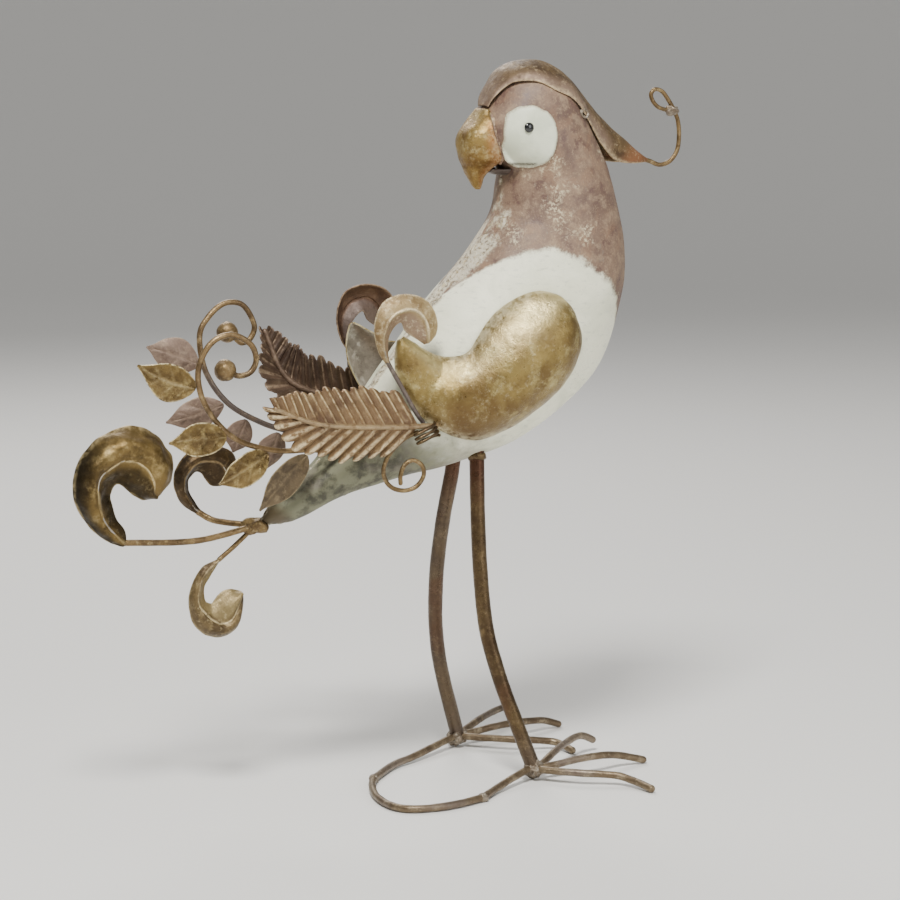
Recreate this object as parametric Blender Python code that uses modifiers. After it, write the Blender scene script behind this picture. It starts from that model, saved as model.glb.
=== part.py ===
"""Garden bird ornament, welded from steel sheet and wire, standing and looking back over its tail.

Frame: +X is the way the toes point, +Y is the bird's left and +Z is up. The origin is on the
ground, at the centre of the object's box. Every list of points is in millimetres.
"""

import math

import bmesh
import bpy
from mathutils import Vector
from mathutils.bvhtree import BVHTree

MM = 0.001
GAP = 0.3  # between pieces that are welded together on the real object
GROW = 0.35  # how far the body's clearance solid stands off the body

# Driving dimensions
BODY_SHEET = 1.0
TRIM_SHEET = 1.0
LEG_DIAMETER = 10.0
TOE_DIAMETER = 5.0
TWIG_DIAMETER = 3.8
CREST_DIAMETER = 3.2
CURL_DIAMETER = 3.0
BALL_DIAMETER = 14.0
SEAM_HALF_GAP = 1.3
SEAM_DIAMETER = 2.0
SEAM_DEPTH = 0.85  # the bead's centre below the body's surface
ANKLE_RADIUS = 10.0
ANKLE_HEIGHT = 8.0
# How much further forward and up the left trim sits than the right
LEFT_WING_SHIFT = (-4.0, 3.0)
LEFT_SCROLL_SHIFT = (10.0, -1.0)
LEFT_CURL_SHIFT = (4.0, 0.0)
# Every list of points below is from a datum on the body's middle plane; the origin lies here in it
ORIGIN = (8.7, 0.0, 0.0)

# The body and head: (back x, back z, belly x, belly z, half width), from the tail to the crown
BODY_SECTIONS = [
    (-84, 184, -75, 177, 7),
    (-67, 197, -55, 182, 13),
    (-39, 220, -25, 194, 22),
    (-17, 248, 14, 204, 32),
    (9, 280, 54, 211, 41),
    (40, 320, 105, 227, 49),
    (62, 342, 156, 265, 51),
    (78, 362, 178, 316, 47),
    (88, 379, 181, 352, 42),
    (92, 397, 173, 391, 38),
    (92, 408, 167, 409, 37),
    (82, 417, 163, 418, 37),
    (75, 427, 159, 427, 37),
    (74, 437, 155, 437, 36),
    (80, 448, 150, 448, 34),
    (89, 462, 142, 461, 28),
    (99, 471, 131, 470.5, 18),
    (110, 475, 120, 475, 6),
]
BODY_RINGS = 30
BODY_SPANS = 7  # faces across each half shell, from the back's seam to the belly's

# The hooked upper beak: (z, ridge x, rear edge x, half width), from the forehead to the tip
BEAK_SLICES = [
    (446.5, 76.5, 80.5, 8),
    (439, 71, 81, 15),
    (430.5, 64.3, 81.5, 18),
    (423, 62.8, 82.5, 18.5),
    (413.5, 64, 86, 16),
    (408, 65.8, 81.5, 10),
    (402, 68.2, 77.5, 6),
    (397, 71.3, 77, 3.6),
    (393.5, 74, 76.3, 1.6),
]

# The lower beak's scoop: (x, half width, depth)
LOWER_BEAK_SLICES = [(83, 5, 2.0), (86, 8, 3.2), (90, 10.5, 4.0), (94, 12, 4.5)]
LOWER_BEAK_TOP = 407.0

# The crest cap: (crown x, crown z, edge x, edge z, half width), from the brow to the hanging tip
CAP_SECTIONS = [
    (78, 448.5, 79.5, 448, 7),
    (81, 454.5, 82, 453.5, 10.5),
    (86, 464, 88, 460, 13),
    (92.5, 472, 95, 464.5, 18.5),
    (103, 477, 106.5, 464, 25),
    (115, 478, 118, 457.5, 28),
    (126, 475.5, 129, 452, 26.5),
    (137, 468.5, 138, 443.5, 25),
    (147, 458.5, 146, 434.5, 22),
    (157.5, 447.5, 154, 426.5, 19.5),
    (169, 436.5, 160, 420.5, 17),
    (180, 427, 167, 414, 14),
    (190, 419.5, 176, 409.5, 11),
    (198, 414, 189, 408.5, 6.5),
    (203.5, 410.5, 201.5, 408.8, 1.5),
]

EYE_CENTRE = (99.3, 428.4)
EYE_HALF_SIZE = (15.7, 20.1)
PUPIL_CENTRE = (96.2, 435)
PUPIL_RADIUS = 3.4

# Wing: (inner edge x, z), (outer edge x, z), dome height
WING_STATIONS = [
    ((4, 301.5), (1.5, 300), 1.5),
    ((12, 297.5), (-0.5, 288), 5),
    ((20, 293), (1.5, 272), 7.5),
    ((30, 288), (10, 257), 9.5),
    ((41, 287), (24, 243), 11),
    ((49.5, 291), (42, 234), 12.5),
    ((55, 299), (61, 232.5), 14.5),
    ((60.5, 307), (80, 238), 16.5),
    ((68, 315), (99, 249), 18),
    ((77, 322), (114, 262), 18),
    ((87, 326.5), (123.5, 276), 16),
    ((98, 328.5), (127, 293), 12),
    ((109, 326), (124.5, 307), 6),
    ((116, 321), (119.5, 317), 1.5),
]
WING_REST = 34.0  # how far out the wing's edge lies where it hangs clear of the body

# Scrolls and plumes: (outer edge), (ridge), (inner edge), ridge height, dome rise
SCROLL_STATIONS = [
    ((-10, 285), (-9.3, 286.2), (-8.5, 287.5), 1.0, 0.3),
    ((-15.5, 293), (-12.5, 293), (-9, 294), 3.0, 0.6),
    ((-18.5, 304), (-14, 303), (-8.5, 302), 4.5, 1.0),
    ((-18, 315), (-12, 311), (-6, 307), 5.5, 1.2),
    ((-13, 325), (-7.5, 317), (-2, 311), 6.0, 1.5),
    ((-4, 329.5), (-1, 320), (0.5, 311.5), 6.0, 1.5),
    ((6, 330), (6, 320.5), (1.5, 309), 6.0, 1.5),
    ((16, 327), (12, 317), (3, 306), 6.0, 1.5),
    ((23, 320), (16, 311), (7, 303), 5.5, 1.5),
    ((26, 310), (17.5, 304), (12, 300), 5.0, 1.2),
    ((24.5, 302), (18, 298), (17, 297), 4.0, 0.6),
]
LARGE_PLUME_STATIONS = [
    ((-178, 173.5), (-178, 175.5), (-177.5, 177.5), 1.0, 0.3),
    ((-190, 178), (-184, 181), (-178, 184), 4.0, 2.0),
    ((-202, 189), (-192, 190), (-183, 192), 7.0, 4.0),
    ((-210, 203), (-197, 202), (-186, 202), 9.0, 5.5),
    ((-211, 217), (-197.5, 214), (-186, 209), 10.0, 6.5),
    ((-207, 231), (-195, 221), (-184, 212.5), 10.5, 7.5),
    ((-198, 241), (-189, 226), (-181, 213.5), 10.5, 8.0),
    ((-187, 248), (-183, 229), (-178, 212), 10.5, 8.5),
    ((-175, 250.5), (-177, 229.5), (-175, 209), 10.5, 9.0),
    ((-163, 247), (-170, 227), (-172, 206), 10.5, 9.0),
    ((-152, 240), (-164, 221.5), (-168, 203.5), 10.0, 8.5),
    ((-145, 229), (-160.5, 214), (-165, 202), 8.5, 7.0),
    ((-145.5, 215), (-159, 207), (-161, 202.3), 5.0, 4.0),
    ((-151, 207), (-156, 203.8), (-157, 203), 1.5, 0.5),
]
MIDDLE_PLUME_STATIONS = [
    ((-117, 184.5), (-116, 186), (-115, 187.5), 1.0, 0.3),
    ((-126, 191), (-122, 192), (-119, 193), 3.0, 1.5),
    ((-132, 200), (-127, 200), (-123, 201), 4.5, 2.5),
    ((-133.5, 210), (-128, 209), (-123.5, 207), 5.5, 3.0),
    ((-130, 220), (-124.5, 216), (-121, 211), 6.0, 3.5),
    ((-121, 228), (-119, 220), (-118, 213.5), 6.5, 4.0),
    ((-110, 230.5), (-111.5, 221), (-114.5, 212), 6.5, 4.0),
    ((-99, 228), (-104, 219), (-112, 208), 6.5, 4.0),
    ((-91, 222), (-99.5, 213), (-108, 203.5), 6.0, 3.5),
    ((-90, 212), (-97, 207), (-103, 203), 4.0, 2.5),
    ((-94, 205.5), (-97.5, 204), (-98.5, 203.5), 1.0, 0.3),
]
SMALL_PLUME_STATIONS = [
    ((-111, 158.5), (-110.8, 157.6), (-110.5, 156.7), 1.0, 0.3),
    ((-122, 154), (-120, 151), (-116, 149), 2.5, 1.2),
    ((-129, 144), (-125.5, 142), (-120.5, 141), 4.0, 2.0),
    ((-132, 132), (-127, 131), (-120.5, 132), 5.0, 3.0),
    ((-130.5, 120), (-121.5, 123), (-116.5, 129.5), 5.5, 4.0),
    ((-124, 111.5), (-116, 118.5), (-114.5, 131.5), 6.0, 5.0),
    ((-115, 107), (-110, 116.5), (-111.5, 135), 6.0, 5.5),
    ((-106, 107.5), (-104.5, 119), (-107.5, 137.5), 6.0, 5.5),
    ((-98.5, 113), (-101, 125), (-103, 138), 5.5, 4.5),
    ((-95.5, 123), (-98, 131), (-99, 137), 4.0, 2.5),
    ((-94.5, 133), (-95.8, 135), (-96.5, 136), 1.0, 0.3),
]
SCROLL_Y = 42.5
LARGE_PLUME_Y = -8.0
MIDDLE_PLUME_Y = 21.0
SMALL_PLUME_Y = 0.0

# Fern leaves: the midrib from its stem end to the tip, how far each side is folded back, in degrees,
# and each side's width from the stem end to the tip
FERN_RIGHT = {
    "midrib": [
        (10, -48, 244.5), (-15.5, -52.5, 246), (-42.5, -57, 248.5), (-69.5, -61.5, 253), (-97, -66, 264),
    ],
    "upper_fold": 14.0,
    "lower_fold": 14.0,
    "upper_widths": [12, 25, 26.5, 25, 20.5, 15.5, 8],
    "lower_widths": [10, 21, 24.5, 24, 20, 15.5, 8],
}
FERN_LEFT = {
    "midrib": [
        (10, 47, 252), (-12, 50, 254.5), (-31, 54, 260), (-43, 60, 272), (-50.5, 68, 296),
    ],
    "upper_fold": 14.0,
    "lower_fold": 48.0,
    "upper_widths": [12, 22, 25.5, 24, 19, 13, 6],
    "lower_widths": [10, 21, 24.5, 24, 20, 14, 6],
}
FERN_LEAFLETS = 12
FERN_SLANT = 12.0
FERN_STEM = 13.0

# Twigs end in a ring with a ball at its centre
TWIG_RIGHT_ROUTE = [
    (-32, -19.5, 226), (-54, -22, 229.5), (-81, -23, 231), (-109, -26, 241), (-129, -30, 262),
    (-136, -34, 285), (-128, -35, 303), (-114, -35, 308.5), (-101, -35, 302), (-97, -35, 292),
    (-101, -35, 284), (-109, -35, 282),
]
TWIG_LEFT_ROUTE = [
    (-26, 17, 222), (-47, 18, 234), (-70, 22, 242), (-93, 26, 256), (-107, 30, 277),
    (-110, 33, 300), (-104, 34, 312), (-92, 35, 321), (-79, 35, 319.5), (-71, 35, 306),
    (-74, 35, 297), (-80, 35, 294.5),
]
TWIG_RIGHT_BALL = (-118, -35, 286)
TWIG_LEFT_BALL = (-90, 35, 302)

# Leaves: name, where on its twig it is welded, tip, half width, how far its middle droops
LEAVES = [
    ("leaf_right_upper", (-135, -33, 274), (-176, -35, 292), 11.5, 3.0),
    ("leaf_right_middle", (-112, -26.5, 242), (-155, -32, 241), 11.0, -1.0),
    ("leaf_right_lower", (-81, -23, 231), (-121, -28, 212), 10.5, 1.0),
    ("leaf_right_tail", (-57, -21.5, 226), (-90, -24, 193), 9.5, -1.5),
    ("leaf_left_upper", (-109, 31, 281), (-146, 33, 295), 11.5, -1.0),
    ("leaf_left_middle", (-94, 26, 256), (-133, 34, 244.5), 10.0, 0.5),
    ("leaf_left_lower", (-80, 24, 248), (-89, 32, 223), 9.5, 1.0),
    ("leaf_left_tail", (-60, 20, 238), (-67, 27, 210), 9.5, 0.5),
]
LEAF_STANDOFF = 3.6

TAIL_WELD_CENTRE = (-88.5, 0, 177)
TAIL_WELD_RADIUS = 5.6
# Plume stems: route, diameter
PLUME_STEMS = {
    "plume_stem_large": (
        [(-94.5, -3.5, 177.5), (-120, -6, 173.5), (-142, -7.5, 173), (-176.5, -8, 175)], 4.2,
    ),
    "plume_stem_middle": (
        [(-93, 4.5, 180), (-103, 10, 180.5), (-110, 16, 182), (-115, 19.5, 185)], 4.2,
    ),
    "plume_stem_small": ([(-93, 0, 171.8), (-100, 0, 166), (-109.5, 0, 159)], 3.2),
}
CREST_WIRE_ROUTE = [
    (205.5, 0, 409), (213, 0, 406.5), (221, 0, 409), (226.4, 0, 416.2), (227.8, 0, 426),
    (226.8, 0, 436), (224, 0, 442.5), (220.5, 0, 448.5), (214.5, 0, 456), (208.7, 0, 457.7),
    (205.7, 0, 454.5), (207, 0, 450), (210.5, 0, 446.2), (214.5, 0, 444.4),
]
CREST_KNOT = ((223.9, 0, 442.7), (-0.5, 0, 1))
SCROLL_STEM_RIGHT = [(-8.5, -44, 284.5), (0, -44, 270), (10, -44, 253), (15.5, -43.2, 246)]
SCROLL_STEM_LEFT = [(1.5, 44, 283.5), (4, 51, 270), (9, 54, 261), (13, 54, 257)]
CURL_ROUTE = [
    (12, -46, 235), (2, -45, 233), (-8, -44, 226), (-12.5, -43, 217), (-10.5, -42, 209),
    (-4.5, -41, 203.5), (4, -40.5, 201.5), (12, -41, 204), (16.5, -42, 211), (14.5, -43, 218),
    (8, -43.5, 221.5), (2, -43.5, 218.5), (-0.5, -43, 212), (-0.5, -43, 207),
]
LEG_RIGHT_ROUTE = [
    (67, -17, 226), (66, -19, 205), (65, -23, 170), (65, -27, 137), (67, -31, 104),
    (71.5, -36, 79), (78.5, -41, 54), (94, -49, 8),
]
LEG_LEFT_ROUTE = [
    (67, 17, 226), (65, 18, 203), (61, 22, 174), (59, 27, 146), (59, 32, 118),
    (62, 38, 90), (69, 45, 60), (86, 54, 8),
]
ANKLE_RIGHT = (94, -49, ANKLE_HEIGHT)
ANKLE_LEFT = (86, 54, ANKLE_HEIGHT)
TOE_ROUTES = {
    "toe_inner_right": [(104, -43, 9), (125, -25.5, 13), (147, -7, 14), (157, -1, 12.5), (166, 3, 8)],
    "toe_middle_right": [(106, -50.5, 8.5), (128, -51, 11), (146, -49, 11), (162, -44, 8), (181, -43, 2.5)],
    "toe_outer_right": [(100, -59.5, 8), (115, -74, 8), (136, -86, 7), (144, -96, 5), (149, -113, 2.5)],
    "toe_inner_left": [(95, 44, 8), (116, 27, 8), (131, 22, 7), (145, 17, 5), (149, 0.5, 2.5)],
    "toe_middle_left": [(98, 56, 8.5), (122, 59, 10.5), (145, 65, 9.5), (161, 70, 7.5), (175, 73, 2.5)],
    "toe_outer_left": [(95, 62, 9), (118, 80, 12), (143, 100, 12), (152, 106, 9.5), (159, 111, 6)],
}
HEEL_BAR_RIGHT = [(84.5, -53.5, 7.5), (70, -62, 5.5), (56, -71, 3.5), (42, -84, 2.5)]
HEEL_BAR_LEFT = [(76.7, 48.6, 7.5), (62, 40, 6), (40, 27, 4), (18, 14, 3), (-5, -9, 2.5)]
HEEL_LOOP = [
    (37, -86.5, 2.5), (20, -92.5, 2.5), (2, -95, 2.5), (-15, -91.5, 2.5), (-23.5, -79, 2.5),
    (-23, -54, 2.5), (-15, -28, 2.5), (-8, -14, 2.5),
]

COLOURS = {
    "body_paint": ((0.60, 0.58, 0.50), 0.55, 0.1),
    "crest_bronze": ((0.40, 0.26, 0.15), 0.5, 0.5),
    "eye_white": ((0.82, 0.83, 0.70), 0.5, 0.0),
    "pupil_black": ((0.02, 0.02, 0.02), 0.2, 0.0),
    "wing_gold": ((0.55, 0.42, 0.18), 0.4, 0.7),
    "fern_bronze": ((0.45, 0.30, 0.18), 0.5, 0.5),
    "left_bronze": ((0.32, 0.24, 0.20), 0.55, 0.5),
    "wire_bronze": ((0.38, 0.28, 0.16), 0.45, 0.6),
}


def clear_scene():
    for obj in list(bpy.data.objects):
        bpy.data.objects.remove(obj, do_unlink=True)


def new_collection(name):
    collection = bpy.data.collections.new(name)
    bpy.context.scene.collection.children.link(collection)
    return collection


def place(point):
    """A point of the lists, in metres from the origin."""
    return (Vector(point) - Vector(ORIGIN)) * MM


def make_material(name):
    colour, roughness, metallic = COLOURS[name]
    material = bpy.data.materials.get(name) or bpy.data.materials.new(name)
    material.use_nodes = True
    shader = material.node_tree.nodes["Principled BSDF"]
    shader.inputs["Base Color"].default_value = (*colour, 1.0)
    shader.inputs["Roughness"].default_value = roughness
    shader.inputs["Metallic"].default_value = metallic
    return material


def smooth_route(points, steps):
    """Catmull-Rom curve through the points, with this many steps between each two."""
    rows = [Vector(p) for p in points]
    rows = [rows[0] * 2 - rows[1], *rows, rows[-1] * 2 - rows[-2]]
    out = []
    for k in range(1, len(rows) - 2):
        a, b, c, d = rows[k - 1 : k + 3]
        for i in range(steps):
            t = i / steps
            out.append(
                0.5
                * (2 * b + (c - a) * t + (2 * a - 5 * b + 4 * c - d) * t**2 + (3 * b - a - 3 * c + d) * t**3)
            )
    out.append(rows[-2])
    return out


def between(rows, share):
    """The row of numbers at this share of the way along a list of rows, smoothly interpolated."""
    place = share * (len(rows) - 1)
    k = min(int(place), len(rows) - 2)
    t = place - k
    a, b, c, d = (rows[min(max(i, 0), len(rows) - 1)] for i in (k - 1, k, k + 1, k + 2))
    return [
        0.5 * (2 * q + (r - p) * t + (2 * p - 5 * q + 4 * r - s) * t * t + (3 * q - p - 3 * r + s) * t**3)
        for p, q, r, s in zip(a, b, c, d)
    ]


class Maker:
    """Holds the collections and makes the solids."""

    def __init__(self):
        self.parts = new_collection("garden_bird")
        self.cutters = new_collection("cutters")
        self.body_tree = None
        self.clearance = None

    def mesh_object(self, name, verts, faces, material, collection=None):
        mesh = bpy.data.meshes.new(name)
        mesh.from_pydata([place(v) for v in verts], [], faces)
        mesh.update()
        obj = bpy.data.objects.new(name, mesh)
        (collection or self.parts).objects.link(obj)
        if material:
            mesh.materials.append(make_material(material))
        mesh.shade_smooth()
        return obj

    def sheet(self, name, rows, material, thickness=TRIM_SHEET, offset=0.0):
        """A grid of rows of points, given its thickness by Solidify."""
        across = len(rows[0])
        verts = [p for row in rows for p in row]
        faces = [
            (r * across + c, r * across + c + 1, (r + 1) * across + c + 1, (r + 1) * across + c)
            for r in range(len(rows) - 1)
            for c in range(across - 1)
        ]
        obj = self.mesh_object(name, verts, faces, material)
        solid = obj.modifiers.new("Thickness", "SOLIDIFY")
        solid.thickness = thickness * MM
        solid.offset = offset
        return obj

    def wire(self, name, route, diameter, material, steps=3, bevel_resolution=1):
        """A round wire along a smooth route, as a bevelled poly curve with filled caps."""
        curve = bpy.data.curves.new(name, "CURVE")
        curve.dimensions = "3D"
        curve.bevel_depth = diameter / 2 * MM
        curve.bevel_resolution = bevel_resolution
        curve.use_fill_caps = True
        path = smooth_route(route, steps)
        spline = curve.splines.new("POLY")
        spline.points.add(len(path) - 1)
        for point, centre in zip(spline.points, path):
            point.co = (*place(centre), 1.0)
        obj = bpy.data.objects.new(name, curve)
        self.parts.objects.link(obj)
        curve.materials.append(make_material(material))
        return obj

    def as_mesh(self, obj):
        """The curve's solid as a mesh with its caps welded on, so that it can be cut."""
        graph = bpy.context.evaluated_depsgraph_get()
        mesh = bpy.data.meshes.new_from_object(obj.evaluated_get(graph))
        work = bmesh.new()
        work.from_mesh(mesh)
        bmesh.ops.remove_doubles(work, verts=work.verts, dist=0.01 * MM)
        bmesh.ops.recalc_face_normals(work, faces=work.faces)
        work.to_mesh(mesh)
        work.free()
        name, matrix = obj.name, obj.matrix_world.copy()
        bpy.data.objects.remove(obj)
        cut = bpy.data.objects.new(name, mesh)
        cut.matrix_world = matrix
        self.parts.objects.link(cut)
        return cut

    def trimmed(self, obj):
        """obj, cut back to stand clear of the body."""
        if obj.type == "CURVE":
            obj = self.as_mesh(obj)
        cut = obj.modifiers.new("Clear of body", "BOOLEAN")
        cut.operation = "DIFFERENCE"
        cut.object = self.clearance
        return obj

    def ball(self, name, centre, radii, material, floor=None, segments=12, rings=8):
        """An ellipsoid, flat where it would reach below floor."""
        mesh = bpy.data.meshes.new(name)
        work = bmesh.new()
        bmesh.ops.create_uvsphere(work, u_segments=segments, v_segments=rings, radius=1.0)
        for vert in work.verts:
            point = Vector(centre) + Vector([c * r for c, r in zip(vert.co, radii)])
            if floor is not None:
                point.z = max(point.z, floor)
            vert.co = place(point)
        work.to_mesh(mesh)
        work.free()
        mesh.shade_smooth()
        mesh.materials.append(make_material(material))
        obj = bpy.data.objects.new(name, mesh)
        self.parts.objects.link(obj)
        return obj

    def collar(self, name, centre, direction, inner, outer, length, material, segments=12):
        """A plain round sleeve with a hole, on an axis through centre."""
        axis = Vector(direction).normalized()
        side = axis.orthogonal().normalized()
        other = axis.cross(side)
        profile = [(inner, -length / 2), (outer, -length / 4), (outer, length / 4), (inner, length / 2)]
        verts = []
        for k in range(segments):
            angle = 2 * math.pi * k / segments
            ray = side * math.cos(angle) + other * math.sin(angle)
            verts += [Vector(centre) + ray * radius + axis * along for radius, along in profile]
        count = len(profile)
        faces = [
            (
                k * count + i,
                k * count + (i + 1) % count,
                (k + 1) % segments * count + (i + 1) % count,
                (k + 1) % segments * count + i,
            )
            for k in range(segments)
            for i in range(count)
        ]
        obj = self.mesh_object(name, verts, faces, material)
        work = bmesh.new()
        work.from_mesh(obj.data)
        bmesh.ops.recalc_face_normals(work, faces=work.faces)
        work.to_mesh(obj.data)
        work.free()
        return obj

    def body_side(self, x, z, side):
        """The body's surface y at (x, z) on that side, or None where it isn't."""
        hit = self.body_tree.ray_cast(Vector((x, side * 200, z)), Vector((0, -side, 0)))[0]
        return None if hit is None else hit.y

    def pushed_clear(self, point, distance):
        """The point, moved off the body where it lies in it or nearer to it than distance."""
        near, normal, _, _ = self.body_tree.find_nearest(Vector(point))
        if (Vector(point) - near).dot(normal) < distance:
            return near + normal * distance
        return Vector(point)


def body_point(share, angle, side):
    """A point of the body's surface: angle 0 is on the back's seam and pi on the belly's."""
    back_x, back_z, belly_x, belly_z, half_width = between(BODY_SECTIONS, share)
    blend = (1 - math.cos(angle)) / 2
    return Vector(
        (
            back_x + (belly_x - back_x) * blend,
            side * half_width * abs(math.sin(angle)),
            back_z + (belly_z - back_z) * blend,
        )
    )


def body_form(rings, spans):
    """The whole body as one closed mesh in millimetres, its faces pointing out."""
    work = bmesh.new()
    loops = []
    for ring in range(rings + 1):
        loop = []
        for k in range(spans):
            angle = 2 * math.pi * k / spans
            side = 1 if angle <= math.pi else -1
            loop.append(work.verts.new(body_point(ring / rings, angle, side)))
        loops.append(loop)
    for near, far in zip(loops, loops[1:]):
        for k in range(spans):
            work.faces.new((near[k], near[(k + 1) % spans], far[(k + 1) % spans], far[k]))
    work.faces.new(loops[0][::-1])
    work.faces.new(loops[-1])
    bmesh.ops.recalc_face_normals(work, faces=work.faces)
    work.normal_update()
    return work


def make_body(maker):
    fine = body_form(90, 72)
    bmesh.ops.triangulate(fine, faces=fine.faces)
    maker.body_tree = BVHTree.FromBMesh(fine)
    fine.free()

    # The clearance solid is the body as it is faceted below, grown along its normals
    work = body_form(BODY_RINGS, 2 * BODY_SPANS)
    for vert, normal in [(v, v.normal.copy()) for v in work.verts]:
        vert.co += normal * GROW
    for vert in work.verts:
        vert.co = place(vert.co)
    mesh = bpy.data.meshes.new("body_clearance")
    work.to_mesh(mesh)
    work.free()
    maker.clearance = bpy.data.objects.new("body_clearance", mesh)
    maker.clearance.hide_render = True
    maker.clearance.display_type = "WIRE"
    maker.cutters.objects.link(maker.clearance)

    for name, side in (("body_shell_right", -1), ("body_shell_left", 1)):
        rows = []
        for ring in range(BODY_RINGS + 1):
            row = []
            for k in range(BODY_SPANS + 1):
                point = body_point(ring / BODY_RINGS, math.pi * k / BODY_SPANS, side)
                point.y = side * max(abs(point.y), SEAM_HALF_GAP)
                row.append(point)
            rows.append(row if side < 0 else row[::-1])
        maker.sheet(name, rows, "body_paint", BODY_SHEET, offset=-1.0)

    # The weld bead that closes the seam runs from the tail up the back, over the crown and down the belly
    seam = []
    for angle, rings in ((0.0, range(BODY_RINGS + 1)), (math.pi, range(BODY_RINGS, -1, -1))):
        for ring in rings:
            share = ring / BODY_RINGS
            edge, opposite = body_point(share, angle, 1), body_point(share, math.pi - angle, 1)
            inward = (opposite - edge).normalized()
            seam.append(edge + inward * SEAM_DEPTH)
    curve_route = [(p.x, 0, p.z) for p in seam]
    maker.wire("seam_weld", curve_route, SEAM_DIAMETER, "body_paint", steps=1, bevel_resolution=1)


def make_beak(maker):
    columns = 9
    rows = []
    for z, ridge_x, rear_x, half_width in BEAK_SLICES:
        row = []
        for k in range(columns):
            angle = math.pi * (k / (columns - 1) - 0.5)
            row.append((rear_x + (ridge_x - rear_x) * math.cos(angle), half_width * math.sin(angle), z))
        rows.append(row)
    maker.trimmed(maker.sheet("beak_upper", rows, "wing_gold"))

    # The lower beak is a short scoop under the hook
    rows = []
    for x, half_width, depth in LOWER_BEAK_SLICES:
        rows.append(
            [
                (x, half_width * math.sin(a), LOWER_BEAK_TOP - depth * math.cos(a))
                for a in (math.pi * (k / 6 - 0.5) for k in range(7))
            ]
        )
    maker.trimmed(maker.sheet("beak_lower", rows, "crest_bronze"))


def make_crest(maker):
    columns = 9
    rows = []
    for ring in range(15):
        crown_x, crown_z, edge_x, edge_z, half_width = between(CAP_SECTIONS, ring / 14)
        row = []
        for k in range(columns):
            angle = math.pi * (k / (columns - 1) - 0.5)
            drop = 1 - math.cos(angle)
            point = (
                crown_x + (edge_x - crown_x) * drop,
                half_width * math.sin(angle),
                crown_z + (edge_z - crown_z) * drop,
            )
            row.append(maker.pushed_clear(point, 1.2))
        rows.append(row)
    maker.trimmed(maker.sheet("crest_cap", rows, "crest_bronze"))
    maker.wire("crest_wire", CREST_WIRE_ROUTE, CREST_DIAMETER, "wire_bronze", steps=2)
    centre, direction = CREST_KNOT
    bore = CREST_DIAMETER / 2 + GAP + 0.1
    maker.collar("crest_knot", centre, direction, bore, bore + 1.6, 5.0, "wire_bronze", 10)


def make_eye(maker, word, side):
    """A thin disc that follows the head's side, and a bead on it for a pupil."""
    segments, rings = 16, 3
    verts = [(EYE_CENTRE[0], EYE_CENTRE[1])]
    for ring in range(1, rings + 1):
        for k in range(segments):
            angle = 2 * math.pi * k / segments
            reach = ring / rings
            verts.append(
                (
                    EYE_CENTRE[0] + EYE_HALF_SIZE[0] * reach * math.cos(angle),
                    EYE_CENTRE[1] + EYE_HALF_SIZE[1] * reach * math.sin(angle),
                )
            )
    lift = 0.9
    placed = [(x, maker.body_side(x, z, side) + side * lift, z) for x, z in verts]
    faces = [(0, 1 + k, 1 + (k + 1) % segments) for k in range(segments)]
    for ring in range(rings - 1):
        for k in range(segments):
            a, b = 1 + ring * segments + k, 1 + ring * segments + (k + 1) % segments
            faces.append((a, a + segments, b + segments, b))
    disc = maker.mesh_object(f"eye_disc_{word}", placed, faces, "eye_white")
    solid = disc.modifiers.new("Thickness", "SOLIDIFY")
    solid.thickness = 0.8 * MM
    solid.offset = 0.0
    maker.trimmed(disc)
    x, z = PUPIL_CENTRE
    y = maker.body_side(x, z, side) + side * (lift + 0.4 + GAP + 1.8)
    maker.ball(f"pupil_{word}", (x, y, z), (PUPIL_RADIUS, 1.2, PUPIL_RADIUS), "pupil_black", None, 10, 6)


def make_wing(maker, word, side):
    """A domed comma of sheet, its edge lying on the body's side."""
    shift_x, shift_z = LEFT_WING_SHIFT if side > 0 else (0.0, 0.0)
    columns, steps = 7, 16
    rows = []
    for ring in range(steps + 1):
        flat = [(*inner, *outer, height) for inner, outer, height in WING_STATIONS]
        inner_x, inner_z, outer_x, outer_z, height = between(flat, ring / steps)
        row = []
        for k in range(columns):
            t = k / (columns - 1)
            x = inner_x + (outer_x - inner_x) * t + shift_x
            z = inner_z + (outer_z - inner_z) * t + shift_z
            on_body = maker.body_side(x, z, side)
            rest = WING_REST if on_body is None else max(abs(on_body), WING_REST)
            row.append((x, side * (rest + 1.4 + height * math.sin(math.pi * t) ** 0.7), z))
        rows.append(row if side < 0 else row[::-1])
    maker.trimmed(maker.sheet(f"wing_{word}", rows, "wing_gold" if side < 0 else "left_bronze"))


def make_horn(maker, name, stations, y, side, material, shift=(0.0, 0.0), steps=14):
    """A curled horn of sheet: a dome from the outer edge to a ridge, and a flat flank inside it."""
    flat = [(*o, *r, *i, lift, rise) for o, r, i, lift, rise in stations]
    rows = []
    for ring in range(steps + 1):
        ox, oz, rx, rz, ix, iz, lift, rise = between(flat, ring / steps)
        row = []
        ox, rx, ix = ox + shift[0], rx + shift[0], ix + shift[0]
        oz, rz, iz = oz + shift[1], rz + shift[1], iz + shift[1]
        for k in range(5):
            t = k / 4
            dome = lift * t + rise * math.sin(math.pi * t)
            row.append((ox + (rx - ox) * t, y + side * dome, oz + (rz - oz) * t))
        row.append(((rx + ix) / 2, y + side * lift * 0.45, (rz + iz) / 2))
        row.append((ix, y, iz))
        rows.append(row if side < 0 else row[::-1])
    return maker.sheet(name, rows, material)


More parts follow.
